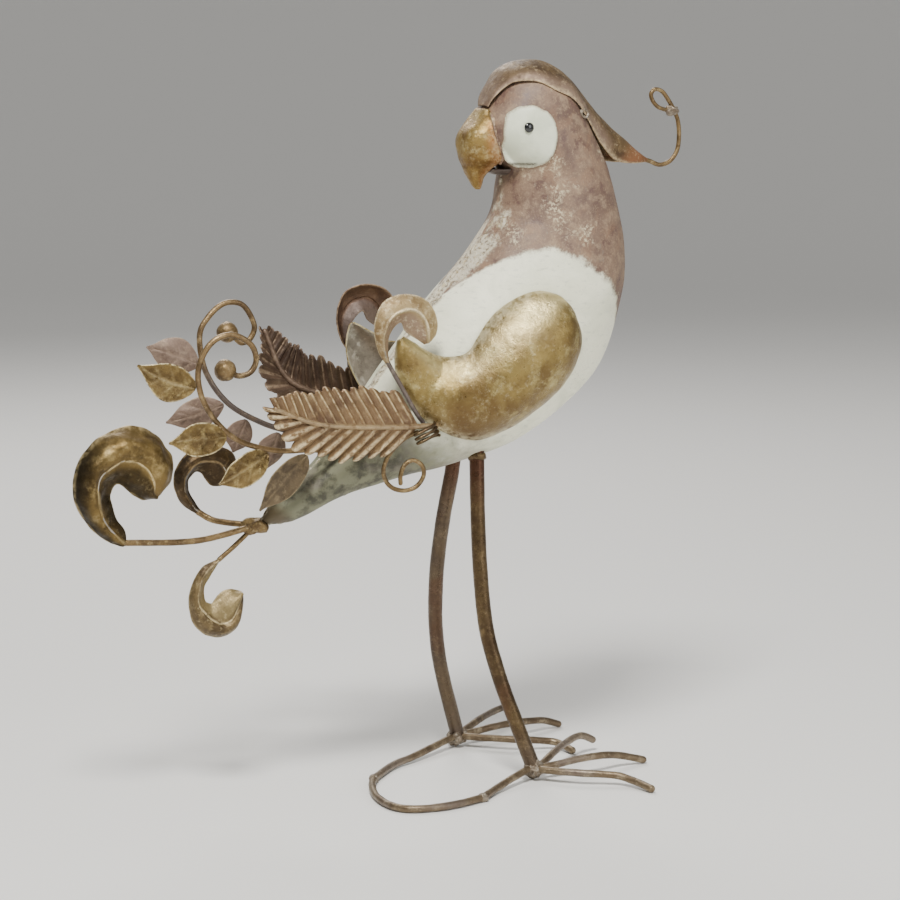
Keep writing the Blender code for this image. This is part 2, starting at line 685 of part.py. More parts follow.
def make_fern(maker, word, side, fern, material):
    """A serrated leaf, folded along a midrib rod that runs on past both its ends."""
    count = 2 * FERN_LEAFLETS
    path = smooth_route(fern["midrib"], count // (len(fern["midrib"]) - 1))
    rows, outs = [], []
    for k, centre in enumerate(path):
        share = k / (len(path) - 1)
        along = (path[min(k + 1, len(path) - 1)] - path[max(k - 1, 0)]).normalized()
        out = Vector((0, side, 0))
        out = (out - along * out.dot(along)).normalized()
        up = out.cross(along) * side
        notch = 0.84 if k % 2 else 1.0
        row = []
        for v in (-1, -0.5, 0, 0.5, 1):
            half = "upper" if v > 0 else "lower"
            fold = math.radians(fern[f"{half}_fold"])
            width = between([(w,) for w in fern[f"{half}_widths"]], share)[0]
            reach = abs(v) * width * (notch if abs(v) == 1 else 1.0)
            across = up * math.copysign(math.cos(fold), v) - out * math.sin(fold)
            lean = along * FERN_SLANT * abs(v) * (1 - 0.7 * share)
            row.append(centre + across * reach + lean)
        rows.append(row[::-1] if side < 0 else row)
        outs.append(out)
    maker.trimmed(maker.sheet(f"fern_{word}", rows, material, 1.2))

    rod = CURL_DIAMETER / 2
    lift = 0.6 + GAP + rod + 0.3
    route = [centre + out * lift for centre, out in zip(path[::4], outs[::4])]
    start, end = (route[0] - route[1]).normalized(), (route[-1] - route[-2]).normalized()
    binding = route[0] + start * FERN_STEM * 0.5
    route = [route[0] + start * FERN_STEM, *route, route[-1] + end * 1.5]
    maker.wire(f"fern_midrib_{word}", route, 2 * rod, material, steps=1)
    maker.collar(f"fern_binding_{word}", binding, start, rod + GAP + 0.1, rod + 2.0, 7.0, "wire_bronze")


def make_leaf(maker, name, twig, base, tip, half_width, droop, material):
    """A small pointed leaf, folded a little along its middle, its base just clear of its twig."""
    side = 1 if base[1] > 0 else -1
    base, tip = Vector(base), Vector(tip)
    along = (tip - base).normalized()
    twig_path = smooth_route(twig, 6)
    while min((base - point).length for point in twig_path) < LEAF_STANDOFF:
        base += along * 0.2
    out = Vector((0, side, 0))
    across = out.cross(along).normalized()
    length = (tip - base).length
    steps = 7
    rows = []
    for k in range(steps + 1):
        share = k / steps
        width = half_width * (0.1 + 0.9 * math.sin(math.pi * share**0.85) ** 0.8)
        if k == steps:
            width = 0.6
        centre = base + along * length * share - Vector((0, 0, droop * math.sin(math.pi * share)))
        rows.append([centre + across * width * v + out * width * 0.25 * abs(v) for v in (1, 0, -1)])
    return maker.sheet(name, rows, material, 0.9)


def on_side(route, side, shift):
    """A route given for the right side, as it runs on that side."""
    if side < 0:
        return route
    return [(x + shift[0], -y, z + shift[1]) for x, y, z in route]


def make_side_trim(maker, word, side):
    shift = LEFT_SCROLL_SHIFT if side > 0 else (0.0, 0.0)
    material = "fern_bronze" if side < 0 else "left_bronze"
    make_wing(maker, word, side)
    make_fern(maker, word, side, FERN_RIGHT if side < 0 else FERN_LEFT, material)
    make_horn(maker, f"scroll_{word}", SCROLL_STATIONS, side * SCROLL_Y, side, material, shift, steps=12)
    stem_route = SCROLL_STEM_LEFT if side > 0 else SCROLL_STEM_RIGHT
    maker.trimmed(maker.wire(f"scroll_stem_{word}", stem_route, CURL_DIAMETER, material))
    curl_route = on_side(CURL_ROUTE, side, LEFT_CURL_SHIFT)
    maker.trimmed(maker.wire(f"curl_wire_{word}", curl_route, CURL_DIAMETER, material, 2))


def make_tail(maker):
    maker.ball("tail_weld", TAIL_WELD_CENTRE, (TAIL_WELD_RADIUS,) * 3, "wire_bronze", None, 10, 6)
    make_horn(maker, "plume_large", LARGE_PLUME_STATIONS, LARGE_PLUME_Y, -1, "wing_gold")
    make_horn(maker, "plume_middle", MIDDLE_PLUME_STATIONS, MIDDLE_PLUME_Y, -1, "fern_bronze", steps=11)
    make_horn(maker, "plume_small", SMALL_PLUME_STATIONS, SMALL_PLUME_Y, -1, "wing_gold", steps=11)
    for name, (route, diameter) in PLUME_STEMS.items():
        maker.wire(name, route, diameter, "wire_bronze", 2)
    for word, route, centre, material in (
        ("right", TWIG_RIGHT_ROUTE, TWIG_RIGHT_BALL, "wire_bronze"),
        ("left", TWIG_LEFT_ROUTE, TWIG_LEFT_BALL, "left_bronze"),
    ):
        maker.trimmed(maker.wire(f"twig_{word}", route, TWIG_DIAMETER, material, 2))
        maker.ball(f"twig_ball_{word}", centre, (BALL_DIAMETER / 2,) * 3, material, None, 12, 8)
    for name, base, tip, half_width, droop in LEAVES:
        right = base[1] < 0
        twig = TWIG_RIGHT_ROUTE if right else TWIG_LEFT_ROUTE
        material = "wing_gold" if right else "left_bronze"
        make_leaf(maker, name, twig, base, tip, half_width, droop, material)


def shortened(route, distance):
    """The route, its last point moved back this far along its last run."""
    last, before = Vector(route[-1]), Vector(route[-2])
    return [*route[:-1], tuple(last + (before - last).normalized() * distance)]


def make_leg(maker, word, route, ankle):
    leg = maker.wire(
        f"leg_{word}", shortened(route, ANKLE_RADIUS + GAP), LEG_DIAMETER, "wire_bronze", 2, 2
    )
    maker.trimmed(leg)
    maker.ball(f"ankle_weld_{word}", ankle, (ANKLE_RADIUS,) * 3, "wire_bronze", 0.0)


def make_hip_weld(maker, word, route):
    """The bead round the top of a leg, where it meets the belly."""
    top, below = Vector(route[0]), Vector(route[1])
    axis = (top - below).normalized()
    hit = maker.body_tree.ray_cast(below, axis)[0]
    inner = LEG_DIAMETER / 2 + GAP + 0.1
    collar = maker.collar(
        f"hip_weld_{word}", hit - axis, axis, inner, inner + 1.6, 8.0, "wire_bronze", 14
    )
    maker.trimmed(collar)


def make_feet(maker):
    for word, route, ankle in (
        ("right", LEG_RIGHT_ROUTE, ANKLE_RIGHT),
        ("left", LEG_LEFT_ROUTE, ANKLE_LEFT),
    ):
        make_leg(maker, word, route, ankle)
        make_hip_weld(maker, word, route)
    for name, route in TOE_ROUTES.items():
        maker.wire(name, route, TOE_DIAMETER, "wire_bronze", 1, 2)
    maker.wire("heel_bar_right", HEEL_BAR_RIGHT, TOE_DIAMETER, "wire_bronze", 2, 2)
    maker.wire("heel_bar_left", HEEL_BAR_LEFT, TOE_DIAMETER, "wire_bronze", 2, 2)
    maker.wire("heel_loop", HEEL_LOOP, TOE_DIAMETER, "wire_bronze", 3, 2)


def main():
    clear_scene()
    maker = Maker()
    make_body(maker)
    make_beak(maker)
    make_crest(maker)
    for word, side in (("right", -1), ("left", 1)):
        make_eye(maker, word, side)
        make_side_trim(maker, word, side)
    make_tail(maker)
    make_feet(maker)


main()
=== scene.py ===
"""Looks of the welded garden bird: fine sheet, wire and weld shapes, with weathered paint and gilding.

Every list of points is in millimetres from a datum on the body's middle plane, as in the CAD source,
and place() turns a point into the frame's metres. Each piece stands for the CAD node of its name, save the
added weld beads and joints, which stand for none.
"""

import math

import bmesh
import bpy
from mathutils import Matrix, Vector, noise
from mathutils.bvhtree import BVHTree


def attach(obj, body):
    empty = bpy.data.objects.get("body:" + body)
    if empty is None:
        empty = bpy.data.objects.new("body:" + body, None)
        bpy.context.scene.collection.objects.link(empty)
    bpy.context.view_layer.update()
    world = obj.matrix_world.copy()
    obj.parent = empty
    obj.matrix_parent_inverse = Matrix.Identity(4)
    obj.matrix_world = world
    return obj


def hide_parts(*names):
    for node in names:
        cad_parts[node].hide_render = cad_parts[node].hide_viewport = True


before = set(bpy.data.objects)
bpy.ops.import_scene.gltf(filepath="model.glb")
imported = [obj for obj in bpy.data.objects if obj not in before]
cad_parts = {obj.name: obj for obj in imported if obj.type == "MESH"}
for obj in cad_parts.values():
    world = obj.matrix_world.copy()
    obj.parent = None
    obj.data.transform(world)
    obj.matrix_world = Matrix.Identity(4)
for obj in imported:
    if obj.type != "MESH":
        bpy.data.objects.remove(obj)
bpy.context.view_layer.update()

MM = 0.001
SIDES = (("right", -1), ("left", 1))
ORIGIN = (8.7, 0.0, 0.0)

# Sheet and wire gauges
BODY_SHEET = 1.0
TRIM_SHEET = 1.0
HEAD_SHEET = 1.2
WING_SHEET = 1.1
EYE_SHEET = 1.0
FERN_SHEET = 1.2
LEAF_SHEET = 0.9
LEG_RADIUS = 5.0
TOE_RADIUS = 2.5
TWIG_RADIUS = 1.9
CREST_RADIUS = 1.6
CURL_RADIUS = 1.5
BINDING_RADIUS = 1.05
BALL_RADIUS = 7.0
SEAM_HALF_GAP = 1.0
SEAM_RADIUS = 1.5
SEAM_DEPTH = 0.8
ANKLE_RADIUS = 6.6
LEFT_WING_SHIFT = (-4.0, 3.0)
LEFT_SCROLL_SHIFT = (10.0, -1.0)
LEFT_CURL_SHIFT = (4.0, 0.0)
BEAK_STANDOFF = 0.7
RIDGE_WIDTH = 0.55
RIM_WIDTH = 0.8

# How finely the shapes are drawn: steps along and across
BODY_GRID = (136, 36)
BEAK_GRID = (46, 32)
LOWER_BEAK_GRID = (18, 20)
CAP_GRID = (84, 40)
WING_GRID = (96, 32)
FERN_GRID = (168, 12)
LEAF_GRID = (34, 20)
SCROLL_STEPS = 70
PLUME_STEPS = 96
DOME_COLUMNS = 21
FLANK_COLUMNS = 12
SEAM_STEPS = 60
END_ANGLES = (0.25, 0.6, 1.0, 1.35)

# The body and head: (back x, back z, belly x, belly z, half width), from the tail to the crown
BODY_SECTIONS = [
    (-84, 184, -75, 177, 7),
    (-67, 197, -55, 182, 13),
    (-39, 220, -25, 194, 22),
    (-17, 248, 14, 204, 32),
    (9, 280, 54, 211, 41),
    (40, 320, 105, 227, 49),
    (62, 342, 156, 265, 51),
    (78, 362, 178, 316, 47),
    (88, 379, 181, 352, 42),
    (92, 397, 173, 391, 38),
    (92, 408, 167, 409, 37),
    (82, 417, 163, 418, 37),
    (75, 427, 159, 427, 37),
    (74, 437, 155, 437, 36),
    (80, 448, 150, 448, 34),
    (89, 462, 142, 461, 28),
    (99, 471, 131, 470.5, 18),
    (110, 475, 120, 475, 6),
]
# How far up the body the white bib reaches, round each side from the back's seam to the belly's
BIB_EDGE = [0.28, 0.352, 0.398, 0.425, 0.432, 0.427, 0.419, 0.404, 0.386, 0.38]
BIB_FADE = 50.0
BODY_LENGTH = 470.0

# The hooked upper beak: (z, ridge x, rear edge x, half width), from the forehead to the tip
BEAK_SLICES = [
    (446.5, 76.5, 80.5, 8),
    (439, 71, 81, 15),
    (430.5, 64.3, 81.5, 18),
    (423, 62.8, 82.5, 18.5),
    (413.5, 64, 86, 16),
    (408, 65.8, 81.5, 10),
    (402, 68.2, 77.5, 6),
    (397, 71.3, 77, 3.6),
    (393.5, 74, 76.3, 1.6),
]
LOWER_BEAK_SLICES = [(83, 5, 2.0), (86, 8, 3.2), (90, 10.5, 4.0), (94, 12, 4.5)]
LOWER_BEAK_TOP = 407.0

# The crest cap: (crown x, crown z, edge x, edge z, half width), from the brow to the hanging tip
CAP_SECTIONS = [
    (78, 448.5, 79.5, 448, 7),
    (81, 454.5, 82, 453.5, 10.5),
    (86, 464, 88, 460, 13),
    (92.5, 472, 95, 464.5, 18.5),
    (103, 477, 106.5, 464, 25),
    (115, 478, 118, 457.5, 28),
    (126, 475.5, 129, 452, 26.5),
    (137, 468.5, 138, 443.5, 25),
    (147, 458.5, 146, 434.5, 22),
    (157.5, 447.5, 154, 426.5, 19.5),
    (169, 436.5, 160, 420.5, 17),
    (180, 427, 167, 414, 14),
    (190, 419.5, 176, 409.5, 11),
    (198, 414, 189, 408.5, 6.5),
    (203.5, 410.5, 201.5, 408.8, 1.5),
]
CAP_STANDOFF = 1.2
RIM_WELD = (141, 443.5)

EYE_CENTRE = (99.3, 428.4)
EYE_HALF_SIZE = (16.5, 21.0)
EYE_LIFT = 0.9
EYE_LEAST_Y = 19.0
PUPIL_CENTRE = (96.2, 435)
PUPIL_RADIUS = 3.4

# Wing: (inner edge x, z), (outer edge x, z), dome height
WING_STATIONS = [
    ((4, 301.5), (1.5, 300), 1.5),
    ((12, 297.5), (-0.5, 288), 5),
    ((20, 293), (1.5, 272), 7.5),
    ((30, 288), (10, 257), 9.5),
    ((41, 287), (24, 243), 11),
    ((49.5, 291), (42, 234), 12.5),
    ((55, 299), (61, 232.5), 14.5),
    ((60.5, 307), (80, 238), 16.5),
    ((68, 315), (99, 249), 18),
    ((77, 322), (114, 262), 18),
    ((87, 326.5), (123.5, 276), 16),
    ((98, 328.5), (127, 293), 12),
    ((109, 326), (124.5, 307), 6),
    ((116, 321), (119.5, 317), 1.5),
]
WING_REST = 34.0

# Scrolls and plumes: (outer edge), (ridge), (inner edge), ridge height, dome rise
SCROLL_STATIONS = [
    ((-10, 285), (-9.3, 286.2), (-8.5, 287.5), 1.0, 0.3),
    ((-15.5, 293), (-12.5, 293), (-9, 294), 3.0, 0.6),
    ((-18.5, 304), (-14, 303), (-8.5, 302), 4.5, 1.0),
    ((-18, 315), (-12, 311), (-6, 307), 5.5, 1.2),
    ((-13, 325), (-7.5, 317), (-2, 311), 6.0, 1.5),
    ((-4, 329.5), (-1, 320), (0.5, 311.5), 6.0, 1.5),
    ((6, 330), (6, 320.5), (1.5, 309), 6.0, 1.5),
    ((16, 327), (12, 317), (3, 306), 6.0, 1.5),
    ((23, 320), (16, 311), (7, 303), 5.5, 1.5),
    ((26, 310), (17.5, 304), (12, 300), 5.0, 1.2),
    ((24.5, 302), (18, 298), (17, 297), 4.0, 0.6),
]
LARGE_PLUME_STATIONS = [
    ((-178, 173.5), (-178, 175.5), (-177.5, 177.5), 1.0, 0.3),
    ((-190, 178), (-184, 181), (-178, 184), 4.0, 2.0),
    ((-202, 189), (-192, 190), (-183, 192), 7.0, 4.0),
    ((-210, 203), (-197, 202), (-186, 202), 9.0, 5.5),
    ((-211, 217), (-197.5, 214), (-186, 209), 10.0, 6.5),
    ((-207, 231), (-195, 221), (-184, 212.5), 10.5, 7.5),
    ((-198, 241), (-189, 226), (-181, 213.5), 10.5, 8.0),
    ((-187, 248), (-183, 229), (-178, 212), 10.5, 8.5),
    ((-175, 250.5), (-177, 229.5), (-175, 209), 10.5, 9.0),
    ((-163, 247), (-170, 227), (-172, 206), 10.5, 9.0),
    ((-152, 240), (-164, 221.5), (-168, 203.5), 10.0, 8.5),
    ((-145, 229), (-160.5, 214), (-165, 202), 8.5, 7.0),
    ((-145.5, 215), (-159, 207), (-161, 202.3), 5.0, 4.0),
    ((-151, 207), (-156, 203.8), (-157, 203), 1.5, 0.5),
]
MIDDLE_PLUME_STATIONS = [
    ((-117, 184.5), (-116, 186), (-115, 187.5), 1.0, 0.3),
    ((-126, 191), (-122, 192), (-119, 193), 3.0, 1.5),
    ((-132, 200), (-127, 200), (-123, 201), 4.5, 2.5),
    ((-133.5, 210), (-128, 209), (-123.5, 207), 5.5, 3.0),
    ((-130, 220), (-124.5, 216), (-121, 211), 6.0, 3.5),
    ((-121, 228), (-119, 220), (-118, 213.5), 6.5, 4.0),
    ((-110, 230.5), (-111.5, 221), (-114.5, 212), 6.5, 4.0),
    ((-99, 228), (-104, 219), (-112, 208), 6.5, 4.0),
    ((-91, 222), (-99.5, 213), (-108, 203.5), 6.0, 3.5),
    ((-90, 212), (-97, 207), (-103, 203), 4.0, 2.5),
    ((-94, 205.5), (-97.5, 204), (-98.5, 203.5), 1.0, 0.3),
]
SMALL_PLUME_STATIONS = [
    ((-111, 158.5), (-110.8, 157.6), (-110.5, 156.7), 1.0, 0.3),
    ((-122, 154), (-120, 151), (-116, 149), 2.5, 1.2),
    ((-129, 144), (-125.5, 142), (-120.5, 141), 4.0, 2.0),
    ((-132, 132), (-127, 131), (-120.5, 132), 5.0, 3.0),
    ((-130.5, 120), (-121.5, 123), (-116.5, 129.5), 5.5, 4.0),
    ((-124, 111.5), (-116, 118.5), (-114.5, 131.5), 6.0, 5.0),
    ((-115, 107), (-110, 116.5), (-111.5, 135), 6.0, 5.5),
    ((-106, 107.5), (-104.5, 119), (-107.5, 137.5), 6.0, 5.5),
    ((-98.5, 113), (-101, 125), (-103, 138), 5.5, 4.5),
    ((-95.5, 123), (-98, 131), (-99, 137), 4.0, 2.5),
    ((-94.5, 133), (-95.8, 135), (-96.5, 136), 1.0, 0.3),
]
SCROLL_Y = 42.5
# Plumes: stations, y, material, slot, how uneven, height of the ridge's line, flank's bulge, shade
PLUMES = {
    "plume_large": (LARGE_PLUME_STATIONS, -8.0, "plume_brass", "wing_gold", 1.0, 1.0, 4.0, 1.0),
    "plume_middle": (MIDDLE_PLUME_STATIONS, 21.0, "plume_dark", "fern_bronze", 0.5, 0.7, 1.5, 0.8),
    "plume_small": (SMALL_PLUME_STATIONS, 0.0, "plume_pale", "wing_gold", 0.4, 0.8, 4.5, 0.3),
}

# Ferns, from the stem end to the tip: the midrib, then the upper and the lower half. Each half has its
# leaflets' lengths, the angles they make with the midrib, how far it is folded back in degrees, how many
# leaflets it has, the share of a leaflet that its rib takes, the rib's height and the tips' notches
FERNS = {
    "right": (
        [(10, -48, 244.5), (-15.5, -52.5, 246), (-42.5, -57, 248.5), (-69.5, -61.5, 253), (-97, -66, 264)],
        ([27, 29.5, 30, 28, 23.5, 17, 8], [62, 60, 59, 58, 56, 52, 45], 14, 15, 0.1, 1.1, 0.09),
        ([28, 31, 32, 30, 26, 20, 10], [47, 48, 48, 46, 40, 26, 10], 14, 12, 0.36, 2.2, 0.22),
    ),
    "left": (
        [(10, 47, 252), (-12, 50, 254.5), (-31, 54, 260), (-43, 60, 272), (-50.5, 68, 296)],
        ([22, 25.5, 28, 26.5, 22, 15, 7], [68, 70, 68, 65, 60, 52, 42], 14, 13, 0.3, 1.9, 0.16),
        ([20, 26, 28, 27, 23, 16, 8], [56, 56, 56, 54, 50, 44, 30], 48, 12, 0.34, 2.0, 0.2),
    ),
}
FERN_STEM = 13.0
FERN_ROD_LIFT = 1.5

# Twigs end in a ring with a ball at its centre: (route, ball, slot, height above which the wire is gilt)
TWIGS = {
    "right": (
        [
            (-32, -17.5, 226), (-54, -22, 229.5), (-81, -23, 231), (-109, -26, 241), (-129, -30, 262),
            (-136, -34, 285), (-128, -35, 303), (-114, -35, 308.5), (-101, -35, 302), (-97, -35, 292),
            (-101, -35, 284), (-109, -35, 282),
        ],
        (-118, -35, 286), "wire_bronze", -1.0,
    ),
    "left": (
        [
            (-26, 17, 222), (-47, 18, 234), (-70, 22, 242), (-93, 26, 256), (-107, 30, 277),
            (-110, 33, 300), (-104, 34, 312), (-92, 35, 321), (-79, 35, 319.5), (-71, 35, 306),
            (-74, 35, 297), (-80, 35, 294.5),
        ],
        (-90, 35, 302), "left_bronze", 265.0,
    ),
}

# Leaves: name, where on its twig it is welded, tip, half width, how far its middle droops
LEAVES = [
    ("leaf_right_upper", (-135, -33, 274), (-176, -35, 292), 11.5, 3.0),
    ("leaf_right_middle", (-112, -26.5, 242), (-155, -32, 241), 11.0, -1.0),
    ("leaf_right_lower", (-81, -23, 231), (-121, -28, 212), 10.5, 1.0),
    ("leaf_right_tail", (-57, -21.5, 226), (-91, -24, 192), 10.0, -1.5),
    ("leaf_left_upper", (-109, 31, 281), (-146, 33, 295), 11.5, -1.0),
    ("leaf_left_middle", (-94, 26, 256), (-133, 34, 244.5), 10.0, 0.5),
    ("leaf_left_lower", (-80, 24, 248), (-89, 32, 223), 9.5, 1.0),
    ("leaf_left_tail", (-60, 20, 238), (-67, 27, 210), 9.5, 0.5),
]
LEAF_STANDOFF = 2.6

TAIL_WELD_CENTRE = (-86.0, 0, 178)
TAIL_WELD_RADII = (9.0, 6.5, 5.5)
PLUME_STEMS = {
    "plume_stem_large": ([(-91, -3, 178), (-120, -6, 173.5), (-142, -7.5, 173), (-178, -8, 175.5)], 2.1),
    "plume_stem_middle": ([(-90, 3, 179), (-103, 10, 180.5), (-110, 16, 182), (-117, 20.5, 186.5)], 2.1),
    "plume_stem_small": ([(-91, 0, 173.5), (-100, 0, 166), (-110.5, 0, 158)], 1.6),
}
CREST_WIRE_ROUTE = [
    (200, 0, 410.5), (205.5, 0, 409), (213, 0, 406.5), (221, 0, 409), (226.4, 0, 416.2), (227.8, 0, 426),
    (226.8, 0, 436), (224, 0, 442.5), (220.5, 0, 448.5), (214.5, 0, 456), (208.7, 0, 457.7),
    (205.7, 0, 454.5), (207, 0, 450), (210.5, 0, 446.2), (214.5, 0, 444.4), (219, 0, 443.4),
]
CREST_KNOT = (221.8, 0, 443.2)
SCROLL_STEMS = {
    "right": [(-9.5, -43.5, 286.5), (-6, -44, 280), (0, -44, 270), (10, -44, 253), (15.5, -43.2, 246)],
    "left": [(0.5, 43, 285), (4, 51, 270), (9, 54, 261), (13, 54, 257)],
}
CURL_ROUTE = [
    (9, -48, 240.5), (-1, -47.5, 236), (-9.5, -45.5, 227), (-12.5, -43, 217), (-10.5, -42, 209),
    (-4.5, -41, 203.5), (4, -40.5, 201.5), (12, -41, 204), (16.5, -42, 211), (14.5, -43, 218),
    (8, -43.5, 221.5), (2, -43.5, 218.5), (-0.5, -43, 212), (-0.5, -43, 207),
]
LEG_ROUTES = {
    "right": [
        (67, -17, 226), (66, -19, 205), (65, -23, 170), (65, -27, 137), (67, -31, 104),
        (71.5, -36, 79), (78.5, -41, 54), (94, -49, 8),
    ],
    "left": [
        (67, 17, 226), (65, 18, 203), (61, 22, 174), (59, 27, 146), (59, 32, 118),
        (62, 38, 90), (69, 45, 60), (86, 54, 8),
    ],
}
TOE_ROUTES = {
    "toe_inner_right": [
        (97, -47, 8), (104, -43, 9), (125, -25.5, 13), (147, -7, 14), (157, -1, 12.5), (166, 3, 8),
    ],
    "toe_middle_right": [
        (98, -49.5, 8), (106, -50.5, 8.5), (128, -51, 11), (146, -49, 11), (162, -44, 8), (181, -43, 2.8),
    ],
    "toe_outer_right": [
        (96, -54, 8), (100, -59.5, 8), (115, -74, 8), (136, -86, 7), (144, -96, 5), (149, -113, 2.8),
    ],
    "toe_inner_left": [
        (90, 49, 8), (95, 44, 8), (116, 27, 8), (131, 22, 7), (145, 17, 5), (149, 0.5, 2.8),
    ],
    "toe_middle_left": [
        (90, 55, 8), (98, 56, 8.5), (122, 59, 10.5), (145, 65, 9.5), (161, 70, 7.5), (175, 73, 2.8),
    ],
    "toe_outer_left": [
        (89, 58, 8), (95, 62, 9), (118, 80, 12), (143, 100, 12), (152, 106, 9.5), (159, 111, 6),
    ],
    "heel_bar_right": [(90, -51, 8), (84.5, -53.5, 7.5), (70, -62, 5.5), (56, -71, 3.5), (39, -85.5, 2.8)],
    "heel_bar_left": [
        (82, 51, 8), (76.7, 48.6, 7.5), (62, 40, 6), (40, 27, 4), (18, 14, 3), (-6.5, -11.5, 2.8),
    ],
    "heel_loop": [
        (38, -86.2, 2.8), (20, -92.5, 2.8), (2, -95, 2.8), (-15, -91.5, 2.8), (-23.5, -79, 2.8),
        (-23, -54, 2.8), (-15, -28, 2.8), (-7.5, -13, 2.8),
    ],
}

# Camera, and soft lights: name, place, size, power, colour
CAMERA_AZIMUTH = 25.0
CAMERA_ELEVATION = 8.5
CAMERA_DISTANCE = 2.0
CAMERA_TARGET = (0.0463, 0.0, 0.2195)
CAMERA_LENS = 119.4
SOFTBOXES = (
    ("key", (-0.65, -1.0, 2.0), 0.55, 62.0, (1.0, 0.985, 0.94)),
    ("fill", (0.9, -1.9, 0.9), 1.2, 16.0, (0.98, 0.99, 1.0)),
    ("back", (0.3, 1.6, 1.5), 0.9, 22.0, (1.0, 0.98, 0.95)),
)


# Shapes


def place(point):
    """A point of the lists, in the frame's metres."""
    return (Vector(point) - Vector(ORIGIN)) * MM


def smooth_route(points, spacing=1.5):
    """Catmull-Rom curve through the points, with a point about every spacing millimetres."""
    rows = [Vector(p) for p in points]
    rows = [rows[0] * 2 - rows[1], *rows, rows[-1] * 2 - rows[-2]]
    out = []
    for k in range(1, len(rows) - 2):
        a, b, c, d = rows[k - 1 : k + 3]
        steps = max(2, round((c - b).length / spacing))
        for i in range(steps):
            t = i / steps
            cubic = (3 * b - a - 3 * c + d) * t**3
            out.append(0.5 * (2 * b + (c - a) * t + (2 * a - 5 * b + 4 * c - d) * t**2 + cubic))
    out.append(rows[-2])
    return out


def between(rows, share):
    """The row of numbers at this share of the way along a list of rows, smoothly interpolated."""
    at = min(max(share, 0.0), 1.0) * (len(rows) - 1)
    k = min(int(at), len(rows) - 2)
    t = at - k
    a, b, c, d = (rows[min(max(i, 0), len(rows) - 1)] for i in (k - 1, k, k + 1, k + 2))
    return [
        0.5 * (2 * q + (r - p) * t + (2 * p - 5 * q + 4 * r - s) * t * t + (3 * q - p - 3 * r + s) * t**3)
        for p, q, r, s in zip(a, b, c, d)
    ]


def single(values, share):
    """The number at this share of the way along a list of numbers."""
    return between([(v,) for v in values], share)[0]


def rumple(point, size, seed=0.0):
    """Smooth unevenness from -1 to 1, its bumps about size millimetres across."""
    return noise.noise(Vector(point) / size + Vector((seed, 2 * seed, -seed)))


def clipped(value):
    """The value, kept within 0 and 1."""
    return min(max(value, 0.0), 1.0)


def ease(value, low, high):
    """0 below low and 1 above high, smooth between."""
    t = clipped((value - low) / (high - low))
    return t * t * (3 - 2 * t)


def peak(value, width):
    """1 where the value is 0, falling off smoothly over about width on both sides."""
    return math.exp(-((value / width) ** 2))


def grids(steps, spans, rule):
    """The grid of points, and the grids of mask values, that rule(share, across) gives together."""
    table = [[rule(r / steps, c / spans) for c in range(spans + 1)] for r in range(steps + 1)]
    return [[[cell[i] for cell in row] for row in table] for i in range(len(table[0][0]))]


def facing(side, *turned):
    """The grids, with their rows turned round on the left side so that the sheet still faces outwards."""
    return turned if side < 0 else [[row[::-1] for row in grid] for grid in turned]


def grid_normal(rows, r, c):
    """The grid's normal at one of its points, or nothing where it shrinks to a point."""
    along = rows[min(r + 1, len(rows) - 1)][c] - rows[max(r - 1, 0)][c]
    across = rows[r][min(c + 1, len(rows[r]) - 1)] - rows[r][max(c - 1, 0)]
    normal = along.cross(across)
    return normal.normalized() if normal.length > 1e-9 else Vector((0, 0, 0))


def dented(rows, *waves):
    """The grid with its points moved along its normals by waves of (depth, size, seed)."""
    out = []
    for r, row in enumerate(rows):
        moved = []
        for c, point in enumerate(row):
            push = sum(depth * rumple(point, size, seed) for depth, size, seed in waves)
            moved.append(point + grid_normal(rows, r, c) * push)
        out.append(moved)
    return out


def smoothed(rows, passes):
    """The grid with its inner points moved towards their neighbours' middle."""
    for _ in range(passes):
        new = [list(row) for row in rows]
        for r in range(1, len(rows) - 1):
            for c in range(1, len(rows[r]) - 1):
                middle = (rows[r - 1][c] + rows[r + 1][c] + rows[r][c - 1] + rows[r][c + 1]) / 4
                new[r][c] = rows[r][c] * 0.5 + middle * 0.5
        rows = new
    return rows


def mesh_object(name, verts, faces, material, masks=None):
    """A mesh in the named material. masks holds a value for each point under each mask's name."""
    mesh = bpy.data.meshes.new(name)
    mesh.from_pydata([place(v) for v in verts], [], faces)
    mesh.update()
    for mask, values in (masks or {}).items():
        mesh.attributes.new(mask, "FLOAT", "POINT").data.foreach_set("value", values)
    mesh.materials.append(MATERIALS[material])
    mesh.shade_smooth()
    obj = bpy.data.objects.new(name, mesh)
    bpy.context.scene.collection.objects.link(obj)
    return obj


def thickened(obj, thickness, offset=0.0):
    """A surface made a plate: offset 0 grows it both ways and -1 inwards."""
    solid = obj.modifiers.new("Thickness", "SOLIDIFY")
    solid.thickness = thickness * MM
    solid.offset = offset
    return solid


def sheet(name, rows, material, thickness=TRIM_SHEET, masks=None, inside=None, offset=0.0):
    """A grid of points as a sheet with rounded rims. masks holds a grid of values for each name."""
    across = len(rows[0])
    faces = [
        (r * across + c, r * across + c + 1, (r + 1) * across + c + 1, (r + 1) * across + c)
        for r in range(len(rows) - 1)
        for c in range(across - 1)
    ]
    flat = {mask: [v for row in grid for v in row] for mask, grid in (masks or {}).items()}
    obj = mesh_object(name, [p for row in rows for p in row], faces, material, flat)
    solid = thickened(obj, thickness, offset)
    if inside:
        obj.data.materials.append(MATERIALS[inside])
        solid.material_offset = 1
    rounding = obj.modifiers.new("Rounding", "SUBSURF")
    rounding.levels = rounding.render_levels = 1
    return obj


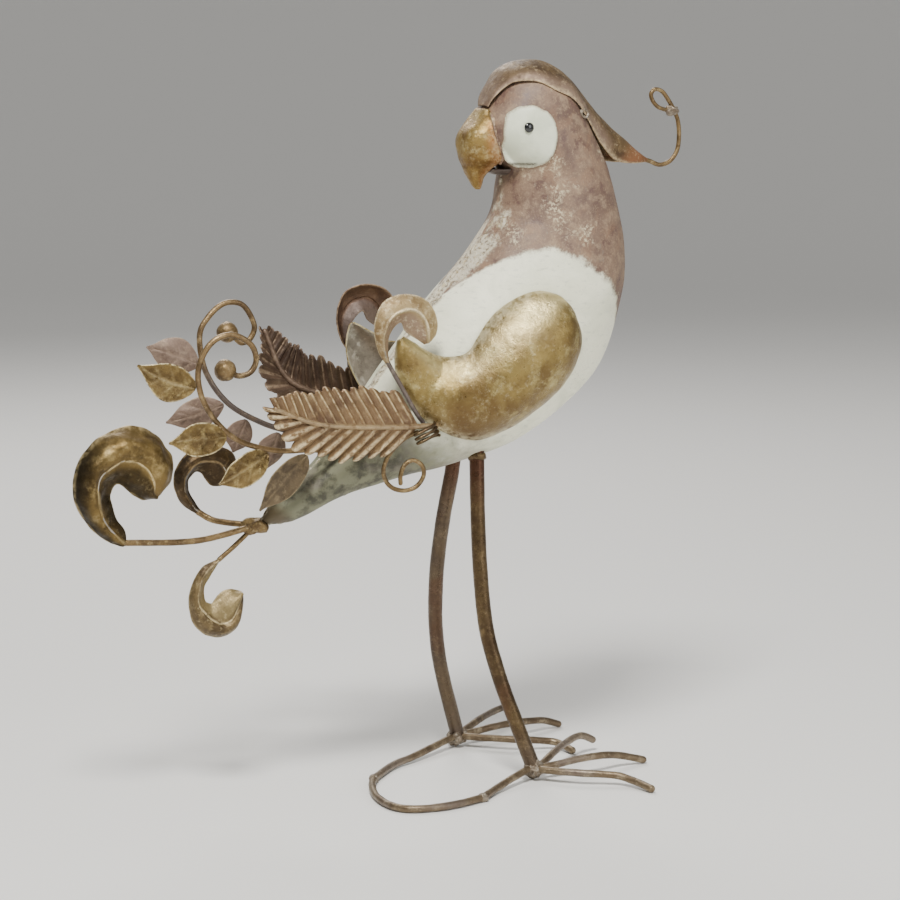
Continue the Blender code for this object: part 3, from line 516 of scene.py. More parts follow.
def ring_faces(rings, sides, closed=False):
    """The faces between rings of points that follow each other, back to the first one when closed."""
    faces = []
    for r in range(rings if closed else rings - 1):
        near, far = r * sides, (r + 1) % rings * sides
        for k in range(sides):
            turned = (k + 1) % sides
            faces.append((near + k, near + turned, far + turned, far + k))
    return faces


def tube_rings(path, radius, sides, lumps, seed, ripple):
    """The rings of points round a path, with round ends: radius may be a function of the share."""
    reach = radius if callable(radius) else lambda share: radius
    last = len(path) - 1
    tangents = [(path[min(i + 1, last)] - path[max(i - 1, 0)]).normalized() for i in range(last + 1)]
    side = tangents[0].orthogonal().normalized()
    rings = []
    for i, (centre, tangent) in enumerate(zip(path, tangents)):
        side = (side - tangent * side.dot(tangent)).normalized()
        other = tangent.cross(side)
        size = reach(i / last)
        stations = [(0.0, 1.0)]
        if i == 0:
            stations = [(-math.sin(a), math.cos(a)) for a in reversed(END_ANGLES)] + stations
        if i == last:
            stations += [(math.sin(a), math.cos(a)) for a in END_ANGLES]
        for forward, narrow in stations:
            ring = []
            for k in range(sides):
                angle = 2 * math.pi * k / sides
                ray = side * math.cos(angle) + other * math.sin(angle)
                point = centre + tangent * forward * size + ray * size * narrow
                grow = 1 + lumps * rumple(point, 2.5 * size + 1.0, seed) + ripple * math.sin(i * 1.7)
                ring.append(centre + tangent * forward * size + ray * size * narrow * grow)
            rings.append((i / last, ring))
    return rings


def tube(
    name, route, radius, material, sides=14, lumps=0.05, spacing=1.6, seed=0.0, masks=None, ripple=0.0
):
    """A round wire along a smooth route, slightly uneven as bent and painted wire is."""
    rings = tube_rings(smooth_route(route, spacing), radius, sides, lumps, seed, ripple)
    verts = [p for _, ring in rings for p in ring]
    faces = ring_faces(len(rings), sides)
    faces.append(tuple(range(sides))[::-1])
    faces.append(tuple(len(verts) - sides + k for k in range(sides)))
    values = {}
    for mask, rule in (masks or {}).items():
        values[mask] = [rule(share, p) for share, ring in rings for p in ring]
    return mesh_object(name, verts, faces, material, values)


def blob(name, centre, radii, material, waves, floor=None, subdivisions=4):
    """A lump of weld metal, uneven by waves of (depth, size, seed), flat where it would reach the floor."""
    work = bmesh.new()
    bmesh.ops.create_icosphere(work, subdivisions=subdivisions, radius=1.0)
    verts = []
    for vert in work.verts:
        ray = vert.co.copy()
        point = Vector(centre) + Vector([c * r for c, r in zip(ray, radii)])
        point += ray * sum(depth * rumple(point, size, seed) for depth, size, seed in waves)
        if floor is not None:
            point.z = max(point.z, floor)
        verts.append(point)
    faces = [tuple(v.index for v in face.verts) for face in work.faces]
    work.free()
    return mesh_object(name, verts, faces, material)


def lumpy_ring(name, centre, direction, radius, gauge, length, material, seed):
    """A weld bead run round a rod: a ring of metal, longer along the rod than it is thick."""
    axis = Vector(direction).normalized()
    side = axis.orthogonal().normalized()
    other = axis.cross(side)
    segments, sides = 40, 14
    verts = []
    for k in range(segments):
        turn = 2 * math.pi * k / segments
        ray = side * math.cos(turn) + other * math.sin(turn)
        for j in range(sides):
            angle = 2 * math.pi * j / sides
            outward = ray * (radius + gauge * math.cos(angle))
            point = Vector(centre) + outward + axis * length / 2 * math.sin(angle)
            swell = 0.9 * rumple(point, 4.0, seed) + 0.35 * rumple(point, 1.6, seed)
            verts.append(point + (ray * math.cos(angle) + axis * math.sin(angle)) * swell)
    return mesh_object(name, verts, ring_faces(segments, sides, True), material)


def finished(obj, slot, *nodes):
    """The piece rides on the object's one body, in place of its CAD nodes."""
    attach(obj, "root")
    if nodes:
        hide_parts(*nodes)
    return obj


# Materials

MATERIALS = {}


def tone(display):
    """A display colour, given as 0 to 255, in linear light."""
    shares = (c / 255 for c in display)
    return (*(s / 12.92 if s <= 0.04045 else ((s + 0.055) / 1.055) ** 2.4 for s in shares), 1.0)


class Finish:
    """Builds one material's nodes. Sizes are in millimetres and colours are display colours."""

    def __init__(self, name, metallic=0.0):
        self.material = bpy.data.materials.new(name)
        self.material.use_nodes = True
        MATERIALS[name] = self.material
        self.tree = self.material.node_tree
        self.shader = self.tree.nodes["Principled BSDF"]
        self.shader.inputs["Metallic"].default_value = metallic
        self.coords = self.tree.nodes.new("ShaderNodeTexCoord").outputs["Object"]

    def add(self, kind, inputs, **settings):
        node = self.tree.nodes.new(kind)
        for key, value in settings.items():
            setattr(node, key, value)
        for key, value in inputs.items():
            if isinstance(value, bpy.types.NodeSocket):
                self.tree.links.new(value, node.inputs[key])
            else:
                node.inputs[key].default_value = value
        return node

    def clouds(self, size, seed, detail=4.0, roughness=0.55, distortion=0.0, stretch=None):
        """Cloudy grey from 0 to 1, its clouds about size across. stretch squeezes the three axes."""
        vector = self.coords
        if stretch:
            stretched = self.add("ShaderNodeVectorMath", {0: vector, 1: stretch}, operation="MULTIPLY")
            vector = stretched.outputs[0]
        inputs = {
            "Vector": vector, "W": seed, "Scale": 1 / (size * MM), "Detail": detail,
            "Roughness": roughness, "Distortion": distortion,
        }
        return self.add("ShaderNodeTexNoise", inputs, noise_dimensions="4D").outputs[0]

    def band(self, value, low, high, out_low=0.0, out_high=1.0):
        """value stretched from low..high to the outputs, with soft ends."""
        inputs = {"Value": value, "From Min": low, "From Max": high, "To Min": out_low, "To Max": out_high}
        return self.add("ShaderNodeMapRange", inputs, interpolation_type="SMOOTHSTEP").outputs[0]

    def times(self, a, b):
        return self.add("ShaderNodeMath", {0: a, 1: b}, operation="MULTIPLY").outputs[0]

    def plus(self, a, b):
        return self.add("ShaderNodeMath", {0: a, 1: b}, operation="ADD").outputs[0]

    def swing(self, pattern, amount):
        """The pattern about its middle: from minus to plus half the amount."""
        centred = self.add("ShaderNodeMath", {0: pattern, 1: 0.5}, operation="SUBTRACT").outputs[0]
        return self.times(centred, amount)

    def blend(self, amount, below, above):
        """The two colours mixed."""
        below, above = (tone(c) if isinstance(c, tuple) else c for c in (below, above))
        return self.add("ShaderNodeMix", {0: amount, 6: below, 7: above}, data_type="RGBA").outputs[2]

    def layered(self, colour, *layers):
        """The colour under patches of others, each (pattern, low, high, amount, colour)."""
        for pattern, low, high, amount, above in layers:
            colour = self.blend(self.band(pattern, low, high, 0.0, amount), colour, above)
        return colour

    def mask(self, name):
        return self.add("ShaderNodeAttribute", {}, attribute_name=name).outputs["Fac"]

    def finish(self, colour, roughness, height, strength, depth):
        """Plugs in the colour, the roughness and a bump of this depth."""
        bump = self.add("ShaderNodeBump", {"Height": height, "Strength": strength, "Distance": depth * MM})
        for name, output in (("Base Color", colour), ("Roughness", roughness), ("Normal", bump.outputs[0])):
            self.tree.links.new(output, self.shader.inputs[name])


def weathered_metal(name, look, seed):
    """Gilded or bronzed steel: patches of tone, fine speckle, grime, bare shiny metal where it rubs, painted
    shade in hollows and under curls, and painted highlights along ridge lines.
    """
    paint = Finish(name, look["metallic"])
    broad = paint.clouds(look["patch"], seed, 5.0, 0.6, 0.4)
    lifted = paint.clouds(look["patch"] * 0.42, seed + 3, 6.0, 0.65)
    grime = paint.clouds(look["patch"] * 0.16, seed + 7, 6.0, 0.7)
    fine = paint.clouds(2.2, seed + 11, 5.0, 0.7)
    speckle = paint.times(paint.band(fine, 0.52, 0.64), paint.band(lifted, 0.4, 0.6, 0.2, 1.0))
    rim = paint.times(paint.mask("edge"), paint.band(grime, 0.38, 0.58))
    colour = look["dark"]
    for amount, above in (
        (paint.band(broad, 0.38, 0.6), "middle"),
        (paint.band(lifted, 0.5, 0.7), "light"),
        # The inner tone: the flanges' and fronts' own colour on most pieces, but a painted highlight on the
        # wing and painted shade inside the large plume's curl.
        (paint.times(paint.mask("inner"), paint.band(lifted, 0.25, 0.6, 0.6, 1.0)), "inner"),
        (paint.times(paint.mask("stain"), paint.band(broad, 0.3, 0.55, 0.55, 1.0)), "stain"),
        (paint.band(grime, 0.54, 0.72, 0.0, look["grime"]), "dirt_and_shade"),
        (paint.times(speckle, look["speckle"]), "worn"),
        # Painted shade: darker where the shade mask marks hollows, creases and undersides.
        (paint.times(paint.mask("painted_shade"), look["painted_shade"]), "dirt_and_shade"),
        (paint.times(rim, look["rim"]), "worn"),
        # Painted highlight: the worn colour laid along raised ridge lines.
        (paint.times(paint.mask("ridge"), paint.band(grime, 0.36, 0.56, 0.1, look["ridge"])), "worn"),
    ):
        colour = paint.blend(amount, colour, look[above])
    roughness = paint.band(grime, 0.35, 0.65, look["roughness"] - 0.08, look["roughness"] + 0.14)
    height = paint.plus(paint.times(fine, 0.35), paint.times(grime, 0.65))
    paint.finish(colour, roughness, height, look["bump"], 0.9)


# Display colours and finish of the common bronze, and what each other metal changes in it. The dirt colour
# also paints shade, and the worn colour also paints highlights along ridges.
BRONZE = dict(
    dark=(94, 71, 51), middle=(131, 105, 76), light=(157, 131, 100), worn=(217, 196, 161),
    dirt_and_shade=(52, 40, 30), inner=(134, 106, 85), stain=(84, 51, 39), metallic=0.6, roughness=0.42, patch=24.0,
    speckle=0.25, grime=0.5, rim=0.7, painted_shade=0.7, ridge=0.8, bump=0.6,
)
LOOKS = {
    # The wing's inner colour is a painted highlight along its upper edge and bulge.
    "wing_gold": dict(
        dark=(112, 90, 50), middle=(148, 127, 73), light=(178, 161, 106), worn=(224, 212, 174),
        dirt_and_shade=(84, 62, 38), inner=(206, 189, 138), stain=(92, 68, 46), metallic=0.7, roughness=0.35,
        patch=30.0, speckle=0.26, rim=0.75, bump=1.0,
    ),
    "wing_inside": dict(
        dark=(112, 104, 94), middle=(146, 137, 126), light=(186, 180, 168), worn=(212, 206, 192),
        metallic=0.1, roughness=0.55, patch=16.0, speckle=0.15,
    ),
    # The large plume's inner colour is painted shade inside its curl, and its dirt colour paints the shade
    # under its dome.
    "plume_brass": dict(
        dark=(74, 58, 30), middle=(116, 95, 54), light=(158, 136, 88), worn=(222, 200, 150),
        dirt_and_shade=(30, 23, 11), inner=(56, 44, 22), metallic=0.75, roughness=0.36, patch=26.0, speckle=0.14,
        painted_shade=0.95, ridge=0.85,
    ),
    "plume_dark": dict(
        dark=(52, 40, 25), middle=(82, 64, 40), light=(112, 90, 60), worn=(190, 164, 120),
        dirt_and_shade=(34, 26, 16), inner=(62, 47, 28), metallic=0.7, roughness=0.4, ridge=0.6,
    ),
    "plume_pale": dict(
        dark=(78, 62, 38), middle=(108, 90, 58), light=(144, 125, 85), worn=(214, 195, 150),
        inner=(138, 121, 82), metallic=0.55, patch=16.0, speckle=0.4, ridge=0.9,
    ),
    "beak_gold": dict(
        dark=(118, 90, 46), middle=(158, 132, 76), light=(192, 172, 120), worn=(236, 222, 182),
        dirt_and_shade=(95, 66, 33), stain=(161, 106, 60), metallic=0.72, roughness=0.34, patch=15.0, rim=0.3,
        bump=0.9,
    ),
    "cap_bronze": dict(
        dark=(72, 54, 33), middle=(101, 81, 52), light=(126, 104, 71), worn=(206, 184, 146),
        inner=(142, 119, 102), stain=(138, 92, 58), metallic=0.4, roughness=0.52, patch=20.0, speckle=0.42,
        rim=0.8, bump=0.8,
    ),
    "fern_copper": dict(
        dark=(102, 77, 53), middle=(132, 105, 72), light=(157, 131, 94), worn=(232, 211, 168),
        dirt_and_shade=(62, 43, 30), metallic=0.55, roughness=0.36, patch=18.0, speckle=0.14, rim=0.95, painted_shade=0.95,
    ),
    "fern_dark": dict(
        dark=(74, 57, 47), middle=(97, 78, 64), light=(119, 100, 83), worn=(180, 157, 132),
        dirt_and_shade=(42, 32, 26), metallic=0.5, roughness=0.45, patch=18.0, speckle=0.12, painted_shade=0.6,
    ),
    "scroll_gold": dict(
        dark=(132, 108, 72), middle=(166, 143, 101), light=(192, 172, 132), worn=(236, 222, 184),
        dirt_and_shade=(96, 72, 46), inner=(146, 123, 101), metallic=0.5, roughness=0.44, patch=12.0, speckle=0.45,
        grime=0.4, rim=0.9, ridge=0.95, bump=0.8,
    ),
    "far_bronze": dict(
        dark=(72, 51, 40), middle=(98, 73, 58), light=(120, 95, 76), worn=(182, 157, 130),
        inner=(98, 84, 77), metallic=0.5, roughness=0.48, patch=20.0, speckle=0.15, ridge=0.5,
    ),
    "leaf_gold": dict(
        dark=(92, 73, 41), middle=(120, 99, 58), light=(154, 134, 86), worn=(236, 220, 174),
        dirt_and_shade=(62, 45, 26), metallic=0.75, roughness=0.32, patch=14.0, speckle=0.1, grime=0.25, rim=1.0,
        painted_shade=0.6,
    ),
    "leaf_brown": dict(
        dark=(76, 63, 46), middle=(100, 85, 62), light=(122, 106, 78), worn=(184, 165, 126), metallic=0.45,
        roughness=0.45, patch=11.0, speckle=0.15, rim=0.6, painted_shade=0.4,
    ),
    "leaf_pink": dict(
        dark=(112, 92, 79), middle=(132, 111, 97), light=(151, 130, 112), worn=(204, 181, 151),
        metallic=0.35, roughness=0.5, patch=12.0, speckle=0.15, grime=0.3, rim=0.8, painted_shade=0.35,
    ),
    "wire_gold": dict(
        dark=(92, 73, 47), middle=(126, 103, 68), light=(152, 130, 90), worn=(222, 203, 160),
        metallic=0.65, roughness=0.34, patch=12.0,
    ),
    "wire_grey": dict(
        dark=(78, 68, 63), middle=(104, 92, 86), light=(125, 113, 103), worn=(182, 171, 159),
        metallic=0.45, roughness=0.48, patch=14.0, speckle=0.12,
    ),
    "twig_wire": dict(
        dark=(94, 75, 51), middle=(126, 103, 70), light=(152, 129, 92), worn=(220, 200, 160),
        inner=(90, 80, 76), metallic=0.65, roughness=0.34, patch=14.0, speckle=0.17,
    ),
    "leg_bronze": dict(
        dark=(70, 54, 36), middle=(92, 75, 50), light=(116, 97, 66), worn=(204, 182, 142),
        inner=(96, 85, 76), stain=(84, 55, 40), metallic=0.75, roughness=0.3, patch=30.0, speckle=0.1,
        grime=0.25,
    ),
    "toe_bronze": dict(
        dark=(92, 76, 58), middle=(118, 102, 80), light=(146, 131, 107), worn=(214, 198, 166),
        inner=(128, 117, 109), metallic=0.65, roughness=0.36, patch=16.0, grime=0.35,
    ),
    "weld_silver": dict(
        dark=(108, 94, 78), middle=(141, 129, 113), light=(172, 164, 150), worn=(227, 221, 208),
        dirt_and_shade=(70, 56, 41), metallic=0.7, roughness=0.36, patch=5.0, speckle=0.3, bump=0.9,
    ),
    "weld_mauve": dict(
        dark=(104, 80, 68), middle=(146, 120, 100), light=(186, 164, 132), worn=(222, 206, 170),
        dirt_and_shade=(80, 60, 50), metallic=0.2, roughness=0.55, patch=5.0, speckle=0.6, bump=0.9,
    ),
    "weld_gold": dict(
        dark=(94, 73, 47), middle=(131, 109, 70), light=(161, 139, 95), worn=(221, 202, 160),
        dirt_and_shade=(45, 33, 23), metallic=0.65, roughness=0.4, patch=6.0, grime=0.7, bump=0.9,
    ),
}

def neck_coat(paint, broad, cloudy, fine, flake):
    """Mauve in patches, with rusty and gilt wear."""
    mauve = paint.blend(paint.band(broad, 0.35, 0.62), (98, 76, 66), (132, 108, 89))
    rust = paint.clouds(18.0, 31.0, 6.0, 0.6, 0.8)
    mauve = paint.layered(
        mauve,
        (cloudy, 0.5, 0.62, 0.6, (156, 133, 108)),
        (cloudy, 0.47, 0.36, 0.85, (92, 68, 62)),
        (rust, 0.52, 0.62, 0.4, (142, 110, 84)),
        (fine, 0.53, 0.64, 0.4, (170, 148, 118)),
        (fine, 0.46, 0.36, 0.4, (100, 82, 76)),
    )
    gilt = paint.band(paint.clouds(24.0, 41.0, 5.0), 0.53, 0.64)
    gilt = paint.times(gilt, paint.band(flake, 0.5, 0.57, 0.0, 0.75))
    return paint.blend(gilt, mauve, (214, 200, 166))


def bib_coat(paint, broad, cloudy, flake):
    """Brushed white that turns grubby grey-green towards the tail and brown at its end."""
    white = paint.blend(paint.band(broad, 0.35, 0.65), (230, 231, 204), (250, 249, 224))
    brushed = paint.clouds(7.0, 12.0, 5.0, 0.6, stretch=(1.0, 1.0, 3.0))
    white = paint.layered(
        white, (brushed, 0.54, 0.7, 0.45, (184, 186, 168)), (flake, 0.6, 0.68, 0.5, (150, 146, 128))
    )
    grubby = paint.blend(paint.band(cloudy, 0.38, 0.58), (64, 62, 46), (124, 124, 99))
    grubby = paint.layered(grubby, (broad, 0.5, 0.66, 0.6, (116, 106, 97)))
    tail = paint.plus(paint.mask("tail"), paint.times(cloudy, 0.5))
    white = paint.blend(paint.band(tail, 0.45, 0.95), white, grubby)
    end = paint.plus(paint.mask("tail_end"), paint.times(cloudy, 0.3))
    return paint.blend(paint.band(end, 0.6, 0.95), white, (86, 74, 50))


def body_paint():
    """Mauve neck over a brushed white bib, with a crackled strip along the back's seam."""
    paint = Finish("body_paint")
    broad = paint.clouds(34.0, 1.0, 5.0, 0.6, 0.6)
    cloudy = paint.clouds(11.0, 4.0, 6.0, 0.65)
    fine = paint.clouds(1.4, 8.0, 5.0, 0.7)
    flake = paint.clouds(2.1, 17.0, 6.0, 0.75)
    mauve = neck_coat(paint, broad, cloudy, fine, flake)
    white = bib_coat(paint, broad, cloudy, flake)
    edge = paint.plus(paint.plus(paint.mask("bib"), paint.swing(cloudy, 0.34)), paint.swing(fine, 0.12))
    colour = paint.blend(paint.band(edge, 0.46, 0.58), mauve, white)

    cracks = paint.clouds(3.6, 27.0, 6.0, 0.75, 1.0)
    speckled = paint.blend(paint.band(cracks, 0.42, 0.5), (104, 90, 70), (214, 206, 184))
    speckled = paint.layered(speckled, (flake, 0.5, 0.6, 0.7, (178, 156, 110)))
    strip = paint.band(paint.plus(paint.mask("seam"), paint.swing(cloudy, 2.4)), 0.2, 0.6)
    strip = paint.times(strip, paint.band(paint.mask("seam"), 0.0, 0.15))
    colour = paint.blend(paint.times(strip, 0.9), colour, speckled)
    scratches = paint.clouds(4.0, 21.0, 3.0, 0.5, 1.6, (1.0, 1.0, 0.35))
    colour = paint.layered(colour, (scratches, 0.68, 0.74, 0.45, (120, 112, 102)))

    height = paint.plus(paint.times(fine, 0.3), paint.times(cloudy, 0.7))
    height = paint.plus(height, paint.times(paint.times(flake, strip), 1.2))
    paint.finish(colour, paint.band(cloudy, 0.3, 0.7, 0.42, 0.66), height, 0.6, 1.4)


def eye_enamel():
    """Chalky white with a grubby rim and a scraped dark line low on its front, which is grit and painted
    shadow together.
    """
    paint = Finish("eye_enamel")
    broad = paint.clouds(14.0, 2.0)
    fine = paint.clouds(1.1, 5.0, 6.0, 0.7)
    colour = paint.blend(paint.band(broad, 0.35, 0.65), (208, 213, 188), (226, 230, 206))
    rim = paint.times(paint.mask("edge"), paint.band(fine, 0.38, 0.55))
    colour = paint.blend(rim, colour, (176, 160, 136))
    # The dark line low on the disc: grit, and a painted shadow along the disc's lower part.
    grit = paint.times(paint.mask("grit"), paint.band(fine, 0.36, 0.44))
    colour = paint.blend(grit, colour, (62, 50, 38))
    height = paint.plus(fine, paint.mask("grit"))
    paint.finish(colour, paint.band(fine, 0.3, 0.7, 0.34, 0.55), height, 0.25, 0.5)


def pupil_enamel():
    """Gloss black with a faint dusty bloom."""
    paint = Finish("pupil_enamel")
    bloom = paint.clouds(1.6, 3.0, 5.0, 0.7)
    colour = paint.blend(paint.band(bloom, 0.5, 0.8), (14, 15, 16), (52, 52, 50))
    paint.shader.inputs["Coat Weight"].default_value = 0.6
    paint.finish(colour, paint.band(bloom, 0.4, 0.7, 0.12, 0.4), bloom, 0.15, 0.3)


def make_materials():
    """Fills MATERIALS: the metals, each with its own seed, and the enamels."""
    for count, (name, look) in enumerate(LOOKS.items(), 1):
        weathered_metal(name, {**BRONZE, **look}, 10.0 * count)
    body_paint()
    eye_enamel()
    pupil_enamel()


# Body and head


def body_point(share, angle, side):
    """A point of the body's surface: angle 0 is on the back's seam and pi on the belly's."""
    back_x, back_z, belly_x, belly_z, half_width = between(BODY_SECTIONS, share)
    blend = (1 - math.cos(angle)) / 2
    pinch = 0.45 + 0.55 * ease(share, 0.0, 0.045)
    middle_x, middle_z = (back_x + belly_x) / 2, (back_z + belly_z) / 2
    x = middle_x + (back_x + (belly_x - back_x) * blend - middle_x) * pinch
    z = middle_z + (back_z + (belly_z - back_z) * blend - middle_z) * pinch
    return Vector((x, side * half_width * pinch * math.sin(angle), z))


class Body:
    """The body's smooth surface, for laying trim on."""

    def __init__(self):
        work = bmesh.new()
        rings, half = 120, 48
        turns = [(math.pi * abs(k) / half, 1 if k >= 0 else -1) for k in range(1 - half, half + 1)]
        loops = [[work.verts.new(body_point(r / rings, *turn)) for turn in turns] for r in range(rings + 1)]
        for near, far in zip(loops, loops[1:]):
            for k in range(2 * half):
                after = (k + 1) % (2 * half)
                work.faces.new((near[k], near[after], far[after], far[k]))
        bmesh.ops.recalc_face_normals(work, faces=work.faces)
        work.normal_update()
        self.tree = BVHTree.FromBMesh(work)
        work.free()

    def side(self, x, z, side):
        """The surface's y at (x, z) on that side, or None where it isn't."""
        hit = self.tree.ray_cast(Vector((x, side * 200, z)), Vector((0, -side, 0)))[0]
        return None if hit is None else hit.y

    def pushed_clear(self, point, distance):
        """The point, moved off the body where it is nearer to it than distance."""
        near, normal, _, _ = self.tree.find_nearest(Vector(point))
        away = (Vector(point) - near).dot(normal)
        return Vector(point) + normal * max(distance - away, 0.0)


def make_body_half(word, side):
    """A half shell, painted as the bib, the seam's strip and the tail's grime need."""

    def cell(share, across):
        point = body_point(share, math.pi * across, side)
        point.y = side * max(abs(point.y), SEAM_HALF_GAP)
        bib = clipped(0.5 + (single(BIB_EDGE, across) - share) * BODY_LENGTH / BIB_FADE)
        wide = 20.0 * ease(share, 0.24, 0.4) + 5.0
        fading = 0.7 * (1 - ease(share, 0.36, 0.47)) + 0.3 * (1 - ease(share, 0.46, 0.56))
        near_seam = 1 - ease(abs(point.y), 0.1 * wide, 1.2 * wide)
        seam = fading * near_seam if across < 0.51 and share > 0.2 else 0.0
        tail = 1 - ease(share, 0.08, 0.26 + 0.16 * across)
        return point, bib, seam, tail, 1 - ease(share, 0.0, 0.1)

    rows, bib, seam, tail, tail_end = facing(side, *grids(*BODY_GRID, cell))
    rows = dented(rows, (0.9, 38.0, 3.0), (0.35, 12.0, 5.0), (0.12, 4.5, 9.0))
    masks = {"bib": bib, "seam": seam, "tail": tail, "tail_end": tail_end}
    shell = sheet(f"body_shell_{word}_fine", rows, "body_paint", BODY_SHEET, masks, offset=-1.0)
    finished(shell, "body_paint", f"body_shell_{word}")


def make_seam():
    """The weld bead that closes the halves, from the tail up the back, over the crown and down the belly."""
    route = []
    shares = [k / SEAM_STEPS for k in range(SEAM_STEPS + 1)]
    for angle, run in ((0.0, shares), (math.pi, shares[::-1])):
        for share in run:
            edge, opposite = body_point(share, angle, 1), body_point(share, math.pi - angle, 1)
            inward = (opposite - edge).normalized() if (opposite - edge).length > 1 else Vector((0, 0, -1))
            point = edge + inward * SEAM_DEPTH
            route.append((point.x, 0.0, point.z))

    def worn(share, p):
        on_back = ease(p.z, 240, 260) * (1 - ease(p.z, 345, 370)) if share < 0.5 else 0.0
        return 0.2 + 0.8 * on_back

    masks = {
        "seam": worn,
        "bib": lambda share, p: clipped(0.5 + ((335 if share < 0.5 else 290) - p.z) / BIB_FADE),
        "tail": lambda share, p: 1 - ease(p.z, 205, 250),
        "tail_end": lambda share, p: 1 - ease(p.x, -84, -64),
    }
    bead = tube("seam_weld_fine", route, SEAM_RADIUS, "body_paint", 10, 0.3, 1.1, 6.0, masks, 0.1)
    finished(bead, "body_paint", "seam_weld")


def make_beak(body):
    """The hooked upper beak, the weld beads along its rear edges, and the small scoop under it."""

    def hook(share, across):
        z, ridge_x, rear_x, half_width = between(BEAK_SLICES, share)
        angle = math.pi * (across - 0.5)
        out = math.copysign(abs(math.sin(angle)) ** 0.8, math.sin(angle))
        reach = max(math.cos(angle), 0.0) ** 0.72
        point = Vector((rear_x + (ridge_x - rear_x) * reach, half_width * out, z))
        edge = 1 - ease(BEAK_GRID[1] * min(across, 1 - across), 0.5, 2.5)
        stain = 0.8 * ease(abs(across - 0.5), 0.34, 0.48) * (1 - ease(z, 434, 444))
        # The last value is painted shade, darker towards the beak's lower part.
        return body.pushed_clear(point, BEAK_STANDOFF), edge, stain, 0.55 * (1 - ease(z, 400, 424))

    rows, edges, stains, painted_shades = grids(*BEAK_GRID, hook)
    rows = dented(smoothed(rows, 1), (0.5, 7.0, 2.0), (0.25, 2.6, 4.0))
    masks = {"edge": edges, "stain": stains, "painted_shade": painted_shades}
    finished(sheet("beak_upper_fine", rows, "beak_gold", HEAD_SHEET, masks), "wing_gold", "beak_upper")
    for word, column in (("right", 0), ("left", -1)):
        line = [row[column] for row in rows[4:27:3]]
        bead = tube(f"beak_weld_{word}", line, 1.1, "weld_mauve", 10, 0.4, 0.9, 3.0, ripple=0.1)
        finished(bead, "wing_gold")

    def scoop(share, across):
        x, half_width, depth = between(LOWER_BEAK_SLICES, share)
        angle = math.pi * (across - 0.5)
        return (Vector((x, half_width * math.sin(angle), LOWER_BEAK_TOP - depth * math.cos(angle))),)

    rows = dented(grids(*LOWER_BEAK_GRID, scoop)[0], (0.3, 3.5, 1.0))
    finished(sheet("beak_lower_fine", rows, "wire_grey"), "crest_bronze", "beak_lower")


def make_crest(body):
    """The folded cap, the weld beads at its rim, and the wire that curls up from its tip."""

    def cell(share, across):
        crown_x, crown_z, edge_x, edge_z, half_width = between(CAP_SECTIONS, share)
        angle = math.pi * (across - 0.5)
        drop = 1 - math.cos(angle)
        x, z = crown_x + (edge_x - crown_x) * drop, crown_z + (edge_z - crown_z) * drop
        point = body.pushed_clear((x, half_width * math.sin(angle), z), CAP_STANDOFF)
        out = abs(2 * across - 1)
        front = 1 - ease(share, 0.04, 0.3)
        inner = max(ease(out, 0.5, 0.9), 0.6 * front) * (1 - ease(share, 0.7, 0.8))
        return point, ease(out, 0.86, 0.97), inner, ease(share, 0.8, 0.9) * (1 - 0.5 * ease(out, 0.8, 1.0))

    rows, edges, inners, stains = grids(*CAP_GRID, cell)
    rows = dented(smoothed(rows, 2), (0.7, 16.0, 7.0), (0.25, 5.0, 8.0))
    masks = {"edge": edges, "inner": inners, "stain": stains}
    finished(sheet("crest_cap_fine", rows, "cap_bronze", HEAD_SHEET, masks), "crest_bronze", "crest_cap")

    for word, side in SIDES:
        x, z = RIM_WELD
        centre, outward = (x, body.side(x, z, side) + side * 1.6, z), (0.1, side, 0.2)
        bead = lumpy_ring(f"rim_weld_{word}", centre, outward, 2.6, 0.9, 2.0, "weld_silver", 3.0)
        finished(bead, "crest_bronze")

    def taper(share):
        return CREST_RADIUS * (1 - 0.12 * share)

    wire = tube("crest_wire_fine", CREST_WIRE_ROUTE, taper, "wire_gold", 14, 0.06, 1.2, 2.0)
    finished(wire, "wire_bronze", "crest_wire")
    waves = ((1.5, 3.2, 4.0), (0.5, 1.4, 2.0))
    knot = blob("crest_knot_fine", CREST_KNOT, (5.4, 3.2, 3.2), "weld_silver", waves)
    finished(knot, "wire_bronze", "crest_knot")


def eye_outline(angle):
    """How far the eye's rim is from its centre as a share of the half sizes: squarer towards the beak."""
    power = 2.0 + 1.0 * max(0.0, -math.cos(angle)) + 0.4 * max(0.0, math.sin(angle))
    reach = (abs(math.cos(angle)) ** power + abs(math.sin(angle)) ** power) ** (-1 / power)
    notch = 0.05 * peak(angle - 1.1, 0.16)
    return reach * (0.97 - notch + 0.012 * math.sin(5 * angle) + 0.008 * math.sin(13 * angle + 1))


